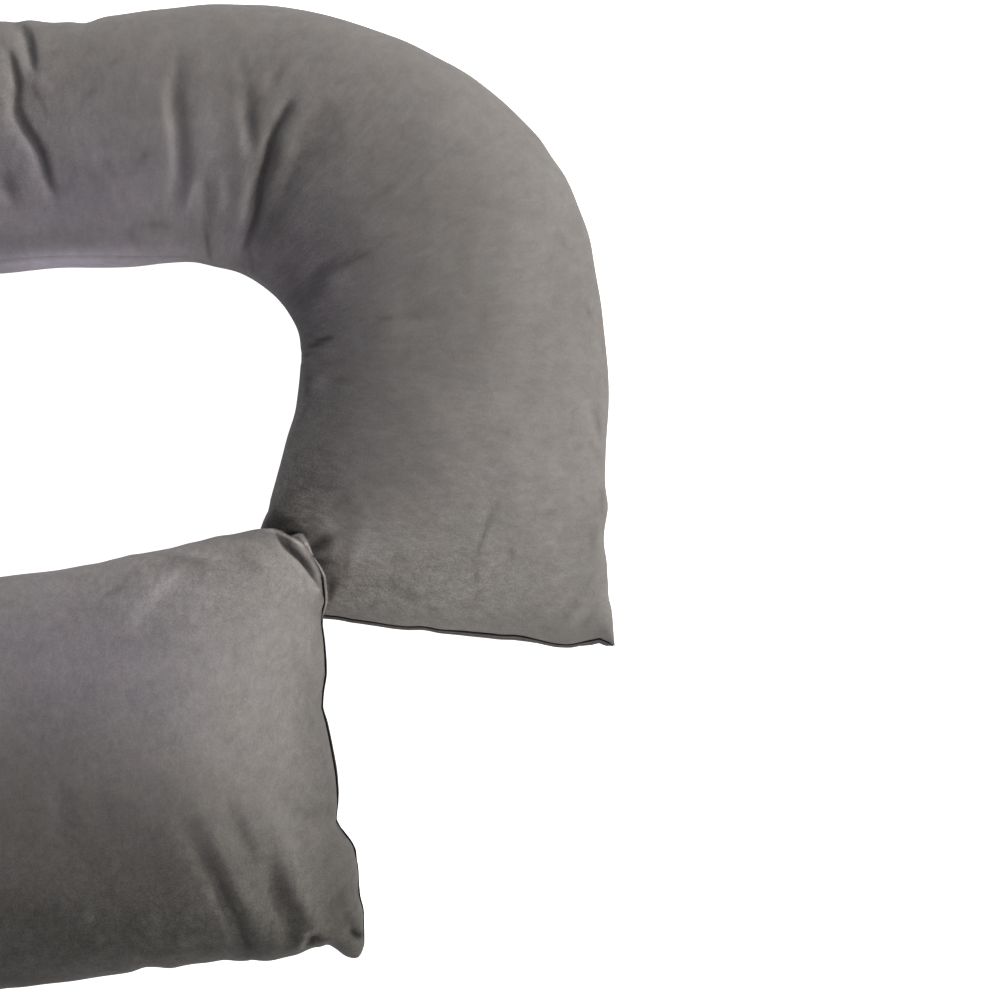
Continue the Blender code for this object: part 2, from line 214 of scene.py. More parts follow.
def column(table, field, at):
    """A table's field at fractional row numbers."""
    return np.interp(at, [row[0] for row in table], [getattr(row, field) for row in table])


def run_along(line):
    """How far along a line of points each of them is."""
    return np.concatenate([[0], np.cumsum(np.linalg.norm(np.diff(line, axis=0), axis=1))])


def places_on(line, known, want):
    """A line's values where a known one that grows along it has the wanted values."""
    return np.stack([np.interp(want, known, values) for values in line.T], axis=1)


def ways_left(line):
    """The way to the left of a line at each of its points, seen from above."""
    forward = np.gradient(line[:, :2], axis=0)
    left = np.stack([-forward[:, 1], forward[:, 0]], axis=1)
    return left / np.linalg.norm(left, axis=1, keepdims=True)


def sections_at(at):
    """The Section at fractional row numbers, each field an upright column of values."""
    return Section(*through(SECTIONS, at).T[:, :, None])


def seam_points(section):
    outer = np.concatenate([section.outer_x, section.outer_y], axis=1)
    inner = np.concatenate([section.inner_x, section.inner_y], axis=1)
    return outer, inner


def stations():
    """Row numbers of the mesh's sections, how far along they are, and the whole length."""
    fine = np.linspace(0, LAST_ROW, ROW_PLACES)
    outer, inner = seam_points(sections_at(fine))
    along = run_along((outer + inner) / 2)
    step = column(STEPS, "metres", fine)
    counted = np.concatenate([[0], np.cumsum(np.diff(along) / ((step[1:] + step[:-1]) / 2))])
    count = int(round(counted[-1])) + 1
    at = np.interp(np.linspace(0, counted[-1], count), counted, fine)
    return at, np.interp(at, fine, along), along[-1]


def drawn_in(distance, closing):
    left = 1 - np.clip(distance / closing.length, 0, 1)
    return (1 - left**2) ** closing.fullness


def edge_shift(edge, inner, outer, share):
    """How far a closing edge lies from its chord at each share: the broad and the fine part."""
    places = np.linspace(0, 1, EDGE_PLACES)
    line = through(edge, places * (len(edge) - 1))
    run = run_along(line)
    shift = places_on(line, run, places * run[-1]) - (inner + (outer - inner) * places[:, None])
    gap = (places[:, None] - places) / DETAIL_SHARE
    blur = np.exp(-(gap**2))
    broad = blur @ shift / blur.sum(axis=1, keepdims=True)
    return places_on(broad, places, share).T, places_on(shift - broad, places, share).T


def soft_lowest(a, b, softness=SOFTNESS):
    mix = np.clip(0.5 + 0.5 * (b - a) / softness, 0, 1)
    return b + (a - b) * mix - softness * mix * (1 - mix) / 2


def bearing(x, y, arris, foot):
    """The height of the slope that parts the two arms, with its arris and its foot rounded."""
    inward = (x - BEARING_CORNER[0]) * BEARING[0] + (y - BEARING_CORNER[1]) * BEARING[1]
    rising = BEARING_HEIGHT + BEARING_RISE * inward
    falling = BEARING_HEIGHT * (1 + inward / BEARING_FOOT)
    return -soft_lowest(-soft_lowest(rising, falling, arris), 0.0, foot)


def shape_outline(x, y, at, share, along, length, middle, half):
    """Takes both closing edges to their lines, then dents the outline."""
    for edge, to_edge, end in ((SHORT_EDGE, along, 0), (LONG_EDGE, length - along, -1)):
        inner, outer = middle[end] - half[end], middle[end] + half[end]
        broad, fine = edge_shift(edge, inner, outer, share)
        near = np.exp(-to_edge / EDGE_REACH)[:, None]
        close = np.exp(-to_edge / DETAIL_REACH)[:, None]
        x = x + broad[0] * near + fine[0] * close
        y = y + broad[1] * near + fine[1] * close
    on_long_arm = at >= FIRST_LONG_ROW
    for nudges, here in ((BEND_NUDGES, ~on_long_arm), (LONG_ARM_NUDGES, on_long_arm)):
        east, north = np.zeros_like(x), np.zeros_like(y)
        for nudge in nudges:
            near = np.exp(-((x - nudge.x) ** 2 + (y - nudge.y) ** 2) / nudge.reach**2)
            near = near * here[:, None]
            east += nudge.east * near
            north += nudge.north * near
        x, y = x + east, y + north
    return x, y


def plain_form(at, along, length):
    """The pillow without its folds: DENSE points round each section, point 0 on the outer side."""
    section = sections_at(at)
    outer, inner = seam_points(section)
    middle, half = (outer + inner) / 2, (outer - inner) / 2
    turn = 2 * np.pi * np.arange(DENSE) / DENSE
    upper = np.sin(turn) >= 0
    roundness = np.where(upper, TOP_ROUNDNESS, UNDER_ROUNDNESS)
    across = np.cos(turn)
    swell = (1 - np.abs(across) ** roundness) ** (1 / roundness)
    swell[[0, DENSE // 2]] = 0
    full = np.minimum(drawn_in(along, SHORT_CLOSING), drawn_in(length - along, LONG_CLOSING))
    full = full[:, None]
    share = (across + 1) / 2
    seam = section.seam_in + (section.seam_out - section.seam_in) * share
    rise = (section.crown - seam) * full + EDGE_HALF_THICKNESS * (1 - full)
    fall = (seam + FLOOR_PRESS) * full + EDGE_HALF_THICKNESS * (1 - full)
    x = middle[:, 0:1] + half[:, 0:1] * across
    y = middle[:, 1:2] + half[:, 1:2] * across
    x, y = shape_outline(x, y, at, share, along, length, middle, half)
    z = np.where(upper, seam + rise * swell, seam - fall * swell)
    short_arm = (along < length / 4)[:, None]
    long_arm = (along > 3 * length / 4)[:, None]
    slope = bearing(x, y, SHARP, SHARP)
    outside = -soft_lowest(LONG_ARM_EDGE_X - x, LONG_ARM_EDGE_Y - y, CORNER_ROUNDING)
    ceiling = slope - BEARING_GAP + CLEAR_RISE * np.maximum(outside, 0)
    z = np.where(short_arm, soft_lowest(z, ceiling), z)
    rest = bearing(x, y, ARRIS_ROUNDING, FOOT_ROUNDING)
    floor = np.where(long_arm, rest + BEARING_GAP * np.clip(rest / BEARING_GAP, 0, 1), 0)
    return np.stack([x, y, np.maximum(z, floor)], axis=-1), full[:, 0]


def crowded(length, count, corner=0.0):
    """count places over a length, closer together towards both of its ends."""
    fine = np.linspace(0, length, CROWDING_PLACES)
    to_end = np.minimum(fine, length - fine)
    density = 1 + SEAM_CROWDING * np.exp(-((to_end / SEAM_REACH) ** 2))
    by_tuck = np.exp(-(((length - fine) / CORNER_REACH) ** 4))
    by_ear = np.exp(-((fine / EAR_REACH) ** 4))
    density += corner * CORNER_CROWDING * (by_tuck + by_ear)
    counted = np.concatenate([[0], np.cumsum((density[1:] + density[:-1]) / 2)])
    return np.interp(np.linspace(0, counted[-1], count + 1)[:-1], counted, fine)


def rings(dense, rise, corner):
    """RING points round each section: the upper panel's from the outer seam, then the under
    panel's. With them, how far each is from the nearer seam, and from the outer one."""
    made, away, round_from = [], [], []
    for loop, up, by_corner in zip(dense, rise, corner):
        loop = np.concatenate([loop, loop[:1]])
        run = run_along(loop)
        inner = run[DENSE // 2] - up
        upper = crowded(inner, UPPER_POINTS, by_corner)
        under = crowded(run[-1] - inner, UNDER_POINTS)
        places = np.concatenate([upper, inner + under])
        made.append(places_on(loop, run, places))
        round_from.append(places)
        to_seams = np.minimum(upper, inner - upper), np.minimum(under, run[-1] - inner - under)
        away.append(np.concatenate(to_seams))
    return np.array(made), np.array(away), np.array(round_from)


def normals_of(points):
    along = np.gradient(points, axis=0)
    around = np.roll(points, -1, axis=1) - np.roll(points, 1, axis=1)
    normal = np.cross(around, along)
    normal /= np.maximum(np.linalg.norm(normal, axis=-1, keepdims=True), 1e-12)
    return normal * np.sign(normal[:, UPPER_POINTS // 2, 2])[:, None, None]


# ---- Folds ----
# Each runs along a path. depth is how far it sinks where its strength is full, and below 0 it is a
# ridge. width is its half width, and lean makes it wider on the left of its path (below 0) or on
# the right (above 0). sharp is 2 for a soft trough, and lower for a creased one.
Fold = namedtuple("Fold", "width depth lean sharp path")
FULL_STRENGTH, END_STRENGTH = 10, 4  # tenths


def path_of(*places):
    """A path from places in millimetres, with strengths in tenths. A place without a strength of
    its own has END_STRENGTH where it ends the path, and else FULL_STRENGTH."""
    made = []
    for k, (x, y, *own) in enumerate(places):
        usual = END_STRENGTH if k in (0, len(places) - 1) else FULL_STRENGTH
        made.append((x / 1000, y / 1000, (own[0] if own else usual) / 10))
    return made


def crease(width, depth, *places, lean=0.0, sharp=2.0):
    """A fold from its half width and depth in millimetres and the places of its path."""
    return Fold(width / 1000, depth / 1000, lean, sharp, path_of(*places))


def shade_line(width, tone, *places, lean=0.0):
    """A line of painted shade and light that runs as a fold does, its tone in hundredths for a
    depth.
    """
    return Fold(width / 1000, tone / 100, lean, 2.0, path_of(*places))


UPPER_TUBE_FOLDS = [
    crease(3.8, 5.8, (92, 374, 3), (98, 368, 8), (102, 360), (105, 351), (107, 342, 8),
        (110, 331, 2), lean=0.3, sharp=1.8),
    crease(3, -1.4, (107, 329, 3), (113, 319), (118, 314, 3)),
    crease(3.4, 6, (87, 352, 3), (91, 344, 9), (94, 334), (97, 324), (97, 314), (96, 304, 9),
        (100, 293), (107, 283), (114, 272), (117, 263, 9), (119, 254, 8), (123, 243, 4),
        (125, 237, 1), lean=0.22, sharp=1.7),
    crease(4.5, 3.6, (86, 257, 3), (90, 243), (92, 230, 2)),
    crease(5, 3.4, (223, 347, 2), (219, 330, 7), (217, 315, 9), (218, 301), (220, 287), (221, 272),
        (221, 258, 9), (219, 245, 6), (216, 233, 2), lean=-0.28),
    crease(3, -1.6, (237, 254, 2), (230, 240), (225, 226, 3)),
    crease(3, 2.4, (241, 248, 2), (241, 233), (241, 218), (240, 203, 5), sharp=1.8),
    crease(4, -1.4, (253, 257, 2), (253, 236), (250, 214, 3)),
    crease(4.4, 3.4, (274, 324, 2), (274, 311, 8), (274, 298), (276, 286), (278, 275, 7),
        (280, 266, 2), lean=-0.15),
    crease(3.6, 9.8, (309, 312, 2), (304, 303, 7), (299, 294, 9), (294, 286), (291, 276),
        (289, 265), (285, 254), (281, 242), (278, 231), (276, 220, 9), (271, 209, 6), (266, 199, 3),
        lean=-0.12, sharp=1.5),
    crease(6, 3.6, (320, 289, 2), (315, 276, 8), (311, 264), (307, 252), (302, 240), (295, 229, 9),
        (289, 217, 6), (284, 206, 2), lean=-0.1),
    crease(7, 3.6, (345, 306, 1), (335, 295, 8), (327, 283), (320, 269, 8), (315, 258, 3),
        lean=-0.2),
    crease(3, 1.4, (301, 337), (296, 328, 9), (290, 321)),
    crease(2.6, 1.2, (270, 340), (272, 329, 6)),
    crease(6.6, 5, (318, 165, 5), (325, 176), (334, 184), (353, 189, 2)),
    crease(6.4, -2.4, (328, 159, 5), (339, 171), (355, 177, 2)),
]
RIGHT_ARM_FOLDS = [
    crease(3, 2.6, (322, 126, 7), (331, 128), (339, 129, 1)),
    crease(3, 2.6, (312, 117, 7), (316, 119), (322, 121, 1)),
    crease(7, 1.4, (376, 142, 2), (404, 144), (431, 143, 2)),
    crease(5, 5.5, (316, -36, 10), (326, -32), (333, -28, 7), (341, -23, 1), sharp=1.8),
    crease(4.5, 5.5, (316, -46, 10), (326, -47), (333, -47, 7), (341, -45, 1), sharp=1.8),
    crease(4, -2.8, (316, -42, 8), (325, -40), (335, -37, 1)),
    crease(8, 1.5, (471, 11, 1), (463, -20), (453, -52, 1)),
]
LONG_ARM_FOLDS = [
    crease(4.6, 6.6, (227, -250, 1), (234, -263, 3), (242, -277, 8), (249, -292), (254, -308),
        (261, -326), (265, -343), (266, -357, 6), lean=-0.14),
    crease(5.8, -3.4, (241, -236, 3), (249, -254, 8), (256, -274), (263, -292), (269, -308),
        (278, -326, 8), (280, -340, 3)),
    crease(4.6, 3, (260, -228, 2), (265, -245, 8), (270, -258), (277, -275, 8), (281, -285, 2)),
    crease(3.4, -1.4, (269, -236, 3), (277, -254), (282, -269, 7), (285, -280, 2)),
    crease(5.6, 7.4, (289, -272, 1), (291, -281, 5), (292, -292, 8), (293, -303), (295, -313),
        (301, -328), (303, -344, 7), lean=-0.1),
    crease(6, -4, (286, -232, 2), (293, -253, 6), (299, -273, 9), (305, -293), (310, -311),
        (318, -331), (325, -346)),
    crease(2.6, -1.2, (243, -280, 3), (247, -299), (251, -316), (256, -334, 8), (258, -347, 3)),
    crease(3, 2.4, (288, -315, 2), (290, -328, 9), (289, -341)),
    crease(2.4, -4, (308, -354, 8), (312, -345), (317, -341, 5)),
    crease(2.6, 4.4, (315, -351), (319, -347), (325, -348)),
    crease(1.6, 5.6, (348, -340, 2), (350, -344, 8), (353, -349), (356, -351), (359, -352),
        sharp=1.8),
    crease(4, 2.4, (339, -304, 2), (342, -316, 8), (345, -330, 9), (349, -341, 5)),
    crease(3, -1.8, (306, -231), (317, -240), (326, -250, 9), (333, -257, 3)),
    crease(4.5, 2, (311, -240, 3), (321, -250), (329, -261, 3)),
]
FAR_FOLDS = [
    crease(12, 6, (12, 350, 1), (3, 315, 9), (1, 285), (13, 235, 2)),
    crease(12, -3.5, (-10, 340, 1), (-19, 300), (-14, 240, 2)),
    crease(13, 5, (-72, 340, 1), (-84, 295, 9), (-80, 255), (-60, 212, 2)),
    crease(13, 6, (-200, 292, 1), (-206, 255, 9), (-196, 210), (-174, 163, 2)),
    crease(14, 6, (-332, 192, 1), (-312, 165, 9), (-285, 137), (-250, 103, 3)),
    crease(14, 6, (-425, 73, 1), (-392, 58, 9), (-352, 38), (-316, 23, 3)),
    crease(14, 6, (-423, -132, 1), (-392, -115, 9), (-352, -88), (-313, -60, 3)),
    crease(14, 5, (-288, -213, 1), (-270, -175, 9), (-255, -135), (-238, -98, 3)),
    crease(14, 4, (-111, -195, 1), (-103, -160), (-90, -98, 3)),
]
# Where each group of folds lies, by row of SECTIONS.
FoldGroup = namedtuple("FoldGroup", "folds first_row last_row")
FOLD_GROUPS = [
    FoldGroup(UPPER_TUBE_FOLDS, 4, 18),
    FoldGroup(RIGHT_ARM_FOLDS, -1, 9),
    FoldGroup(LONG_ARM_FOLDS, 26, 40),
    FoldGroup(FAR_FOLDS, 15.5, 28),
]
# The inner corner of the long arm, where the panel is tucked under: these sink straight down.
CORNER_TUCKS = [
    crease(2.2, 12, (292.5, -27.1, 3), (295.2, -31.1, 7), (299.2, -35.7, 9), (304, -40.1),
        (308.7, -44.6), (313.5, -50.2), (317.7, -56.2, 9), (321.5, -61.4, 6), (324.3, -65.4, 2),
        lean=-0.8),
    crease(1.4, -3, (279.2, -20.3, 3), (285.6, -20.7, 8), (293.6, -22.8), (301.6, -26.7),
        (308.7, -30.7), (312.7, -33.5, 6), (315.1, -35.9, 2)),
]
TUCK_FROM_ROW = 30
FOLD_SAMPLES = 8
FOLD_CLEAR = 0.010
FOLD_REACH = 3.2
FOLD_SPREAD = 1.41

# The filling's lumps, which fade out towards the closing edges and the floor.
Lumps = namedtuple("Lumps", "height size seed edge_clear")
LUMPS = [Lumps(0.0022, 0.105, 1, 0.04), Lumps(0.0008, 0.038, 2, 0.03)]
LUMP_SHIFT = (7.3, 3.1, 5.7)
FLOOR_CLEAR = 0.03


def fold_depth(fold, x, y):
    """How deep a fold is at places seen from above."""
    path = curve(fold.path, FOLD_SAMPLES)
    left = ways_left(path)
    strength = np.clip(path[:, 2], 0, None)
    reach = FOLD_REACH * fold.width * (1 + abs(fold.lean))
    low, high = path.min(axis=0) - reach, path.max(axis=0) + reach
    near = (x > low[0]) & (x < high[0]) & (y > low[1]) & (y < high[1])
    depth = np.zeros_like(x)
    gap_x = x[near][:, None] - path[:, 0]
    gap_y = y[near][:, None] - path[:, 1]
    away = np.hypot(gap_x, gap_y)
    nearest = away.argmin(axis=1)
    pick = np.arange(len(nearest))
    side = gap_x[pick, nearest] * left[nearest, 0] + gap_y[pick, nearest] * left[nearest, 1]
    width = fold.width * (1 - fold.lean * np.sign(side))
    profile = np.exp(-((away[pick, nearest] / (FOLD_SPREAD * width)) ** fold.sharp))
    depth[near] = fold.depth * strength[nearest] * profile
    return depth


def lumpiness(points, size, seed):
    """Smooth uneven values from about -1 to 1, with hills about size apart."""
    shift = seed * Vector(LUMP_SHIFT)
    flat = points.reshape(-1, 3) / size
    return np.array([noise.noise(Vector(p) + shift) for p in flat]).reshape(points.shape[:2])


# ---- Painted shade and light, and the pile ----
# Soft patches of painted shade (tone below 0) and painted light (tone above 0) on the velvet,
# and a painted bluish tint of its sheen (cool above 0).
Patch = namedtuple("Patch", "x y length width angle tone cool")
COOL_RED = 0.02
COOL_BLUE = 0.13


def area(x, y, length, width, angle, tone, cool=0):
    """A patch of painted shade and light, from millimetres and degrees, tone and cool in
    hundredths.
    """
    return Patch(x / 1000, y / 1000, length / 1000, width / 1000, angle, tone / 100, cool / 100)


LONG_ARM_PAINTED_LIGHT = [
    area(155, -360, 275, 90, 0, -80), area(110, -237, 120, 48, 0, -34),
    area(270, -125, 96, 96, 0, 28), area(133, -54, 144, 28, 5, 23),
    area(339, -229, 96, 19, 95, -42), area(229, -205, 72, 48, 0, 8),
    area(317, -45, 32, 20, -60, 22), area(309, -357, 48, 32, 0, -18), area(117, -109, 64, 40, 0, 8),
    area(135, -122, 120, 75, 0, 0, 100), area(235, -47, 29, 10, 8, -14),
    area(213, -105, 37, 16, 0, -6), area(236, -71, 10, 6, 0, 12), area(319, -169, 30, 11, 95, -16),
    area(226, -282, 24, 21, 0, -10), area(156, -337, 120, 32, 0, -20),
    area(177, -266, 96, 40, 0, -10), area(117, -181, 48, 40, 0, -14), area(200, -120, 40, 32, 0, 8),
    area(263, -353, 48, 11, -5, -14), area(93, -376, 48, 11, -8, -30),
    area(266, -143, 14, 11, 0, -5), area(109, -337, 40, 16, 0, -10), area(89, -311, 21, 21, 0, -12),
    area(93, -382, 40, 6, -8, -16), area(227, -343, 209, 60, 0, 0, -36),
    area(99, -311, 39, 24, 0, -10), area(276, -353, 11, 16, 0, -14),
    area(251, -249, 17, 17, 0, -12), area(162, -282, 16, 16, 0, -10),
    area(92, -379, 48, 10, -8, -26), area(123, -347, 17, 13, 0, -8),
    area(276, -355, 13, 11, 0, -12), area(240, -225, 28, 23, 0, -7), area(99, -143, 12, 31, 0, -8),
    area(341, -253, 8, 11, 0, -8), area(193, -123, 15, 15, 0, 5), area(343, -334, 10, 24, 0, -5),
    area(323, -242, 17, 7, -35, -10), area(339, -325, 15, 6, 90, -13),
]
# Painted shade and light on the bend.
BEND_PAINTED_LIGHT = [
    area(437, -69, 152, 56, -5, 45), area(501, 19, 88, 96, 0, 32),
    area(373, 251, 96, 64, 55, -18, 20), area(279, 283, 48, 18, 85, -34),
    area(309, 163, 48, 21, 100, -30), area(141, 218, 136, 26, 0, 34),
    area(120, 190, 100, 9, 3, 92, 120), area(109, 323, 56, 48, 0, -10),
    area(217, 247, 48, 24, 85, 7), area(245, 291, 48, 10, 90, 18), area(309, 355, 48, 32, 0, -18),
    area(125, 235, 150, 65, 0, 0, 120), area(300, 170, 45, 45, 0, 0, 110),
    area(335, -51, 11, 7, 90, 85), area(338, -32, 16, 10, 90, 75), area(334, -13, 11, 11, 0, 22),
    area(382, -25, 38, 34, 0, 18), area(299, -6, 14, 8, 0, -30), area(116, 241, 70, 48, 0, -11),
    area(484, 157, 70, 32, 90, 10), area(338, 211, 32, 32, 0, -11), area(454, 3, 48, 32, 0, 11),
    area(540, -36, 48, 16, 90, -18), area(361, -32, 24, 15, 0, 13), area(323, 5, 27, 20, 0, -14),
    area(240, 325, 27, 19, 0, -10), area(337, 302, 43, 28, 90, -11), area(407, 188, 47, 20, 0, -8),
    area(500, 188, 23, 31, 0, 7), area(284, 344, 17, 47, 0, 5), area(284, 275, 17, 31, 0, 6),
    area(229, 321, 16, 47, 0, -7), area(322, 251, 26, 31, 0, -10), area(314, 166, 20, 12, 0, -14),
    area(434, 26, 31, 39, 0, 6), area(325, -19, 11, 8, 0, 14), area(353, -32, 47, 7, 88, 12),
    area(550, -62, 16, 24, 0, -10), area(391, 306, 116, 85, 0, 0, -18),
    area(445, -61, 120, 48, 0, 0, -27), area(174, 302, 47, 47, 0, 0, 3),
    area(330, 120, 110, 50, 90, 0, 25), area(300, 330, 220, 50, 0, 0, 20),
    area(190, 188, 23, 6, 0, 10), area(97, 188, 16, 6, 0, 6), area(310, -26, 6, 6, 0, 12),
    area(353, 216, 20, 20, 0, -8), area(314, 161, 16, 9, 0, -8), area(253, 315, 11, 19, 0, -7),
    area(329, 3, 23, 14, 0, -7), area(378, -1, 12, 16, 0, 5), area(500, 96, 11, 11, 0, -5),
    area(469, -96, 16, 10, 0, -7), area(563, -58, 10, 13, 0, -6),
]
# Narrow lines of painted shade in creases and painted light beside them, with some short dark and
# pale streaks.
LONG_ARM_SHADE_LINES = [
    shade_line(2.5, -130, (292.8, -26.7, 5), (295.8, -31.3, 8), (299.8, -35.9, 9), (304.6, -40.5),
        (309.4, -45, 11), (314, -50.5, 11), (318.3, -56.4, 9), (321.9, -61.6, 6), (324.3, -66.2, 3),
        lean=-0.8),
    shade_line(1.2, 95, (279.2, -19.6, 3), (285.6, -20.1, 5), (293.6, -22.2), (301.6, -26.1),
        (308.7, -30.1), (312.7, -32.7, 7)),
    shade_line(3.4, 110, (310.3, -31.5), (315.1, -36.7, 9), (319.1, -43.8, 9), (322.5, -50.2),
        (324.7, -57.4), (325.5, -65.4, 5)),
    shade_line(1.1, 14, (290.4, -29.5), (294.8, -35.5), (300, -41.1), (305.5, -46.2), (310.3, -51.8),
        (315.1, -58.2), (319.9, -64.6), (323.9, -70.2, 6)),
    shade_line(3.6, -32, (230, -253, 2), (238, -265, 4), (246, -278, 7), (253, -291), (258, -307, 11),
        (266, -325, 13), (269, -342, 13), (271, -360, 10), lean=-0.3),
    shade_line(1.5, -28, (251, -292, 3), (257, -305), (264, -321), (269, -340), (270, -360, 8)),
    shade_line(2.4, 10, (240, -280), (244, -293), (247, -306, 9), (250, -314, 2)),
    shade_line(2.6, 12, (253, -319), (257, -330), (258, -341), (258, -351, 3)),
    shade_line(4.2, 10, (236, -216), (242, -231), (248, -245), (254, -256, 8), (261, -271, 3)),
    shade_line(4.4, -12, (255, -272, 3), (265, -276), (273, -279, 3)),
    shade_line(4, 8, (266, -289, 3), (273, -305), (281, -323, 7), (284, -335, 3)),
    shade_line(4, -14, (263, -233), (267, -246), (273, -261), (278, -275, 8), (282, -283, 3)),
    shade_line(4.6, -36, (294, -281, 3), (296, -291, 9), (298, -301), (302, -313), (308, -326),
        (307, -342), (302, -353, 8)),
    shade_line(3, -20, (301, -291), (307, -310), (313, -325), (315, -336, 6)),
    shade_line(1.6, 16, (297, -321), (297, -332), (296, -347, 8)),
    shade_line(2.6, -22, (287, -333), (287, -344), (285, -357, 6)),
    shade_line(5, 8, (292, -228), (302, -257), (308, -277), (313, -295), (317, -312), (324, -330, 8),
        (330, -344, 3)),
    shade_line(1.5, -340, (350, -345, 5), (352, -348), (355, -350), (358, -352, 5)),
    shade_line(2.8, -45, (348, -334, 5), (350, -338), (352, -342, 6)),
    shade_line(5, -26, (338, -307, 3), (341, -316), (344, -326, 6)),
    shade_line(1.7, 70, (309, -357, 5), (313, -351), (315, -346), (317, -342), (320, -340)),
    shade_line(2.4, -110, (317, -353, 8), (319, -348), (322, -346), (326, -351, 7)),
    shade_line(1.4, 10, (327, -247), (334, -255), (340, -263), (346, -268, 5)),
    shade_line(3, -8, (318, -237), (326, -245), (332, -250)),
    shade_line(4.4, 30, (225, -48), (211, -61), (198, -74), (184, -95, 5)),
    shade_line(2.8, -26, (183, -52, 5), (174, -64), (161, -73, 5)),
    shade_line(2.2, 22, (204, -35), (222, -38), (242, -40, 9), (260, -42)),
    shade_line(2.6, -24, (207, -41), (224, -44), (241, -49, 6)),
    shade_line(2.2, -26, (261, -39), (272, -45), (284, -53, 5)),
    shade_line(2.2, -16, (272, -79), (279, -88), (286, -100)),
    shade_line(3.6, 12, (123, -213), (125, -227), (128, -244)),
    shade_line(3, 14, (149, -280, 3), (152, -294, 6), (153, -317), (150, -333)),
    shade_line(3, 26, (201, -319), (201, -333), (201, -345)),
    shade_line(5, 16, (214, -346), (227, -344), (238, -341)),
    shade_line(3.6, -14, (181, -307, 3), (182, -322), (177, -338, 3)),
    shade_line(3.6, 12, (168, -311, 3), (170, -326), (165, -342, 3)),
    shade_line(4, -12, (138, -280), (144, -287), (148, -298, 3)),
    shade_line(4, -12, (215, -311, 3), (218, -326), (215, -340)),
    shade_line(3, -20, (234, -346, 5), (240, -351), (244, -356)),
    shade_line(4, -10, (168, -211, 3), (169, -231), (168, -248, 3)),
    shade_line(5, -10, (132, -204, 3), (141, -227), (148, -250, 3)),
    shade_line(3, -20, (85, -352), (91, -350), (97, -348)),
    shade_line(3, -14, (110, -318), (116, -317), (121, -315)),
    shade_line(3, -16, (130, -355), (136, -353), (142, -351)),
    shade_line(3, -16, (145, -349), (151, -347), (157, -345)),
    shade_line(3, -20, (171, -348), (176, -346), (182, -344)),
    shade_line(3, -18, (160, -368), (166, -367), (171, -365)),
    shade_line(3, -22, (199, -353), (205, -351), (211, -349)),
    shade_line(3, -18, (207, -340), (213, -338), (218, -337)),
    shade_line(3, -18, (229, -336), (234, -334), (240, -332)),
    shade_line(3, -20, (234, -351), (240, -349), (246, -347)),
    shade_line(3, -14, (113, -366), (119, -365), (126, -361)),
    shade_line(3, -12, (163, -304), (169, -302), (174, -301)),
    shade_line(3, -12, (103, -300), (108, -298), (114, -297)),
    shade_line(3, -12, (220, -304), (226, -303), (231, -301)),
    shade_line(3.6, 14, (99, -335), (105, -333), (111, -332)),
    shade_line(3.6, 16, (145, -320), (150, -318), (156, -317)),
    shade_line(3.6, 12, (154, -342), (159, -340), (165, -338)),
    shade_line(3.6, 12, (136, -293), (142, -292), (147, -290)),
    shade_line(3.6, 12, (177, -360), (183, -358), (190, -355)),
    shade_line(3.6, 12, (222, -324), (228, -322), (233, -321)),
    shade_line(3.6, 12, (117, -342), (123, -340), (129, -338)),
    shade_line(3.6, 10, (83, -330), (89, -328), (94, -326)),
    shade_line(7, 10, (117, -223), (123, -236), (125, -250), (123, -263)),
    shade_line(6, -8, (136, -231), (142, -245), (146, -259)),
]
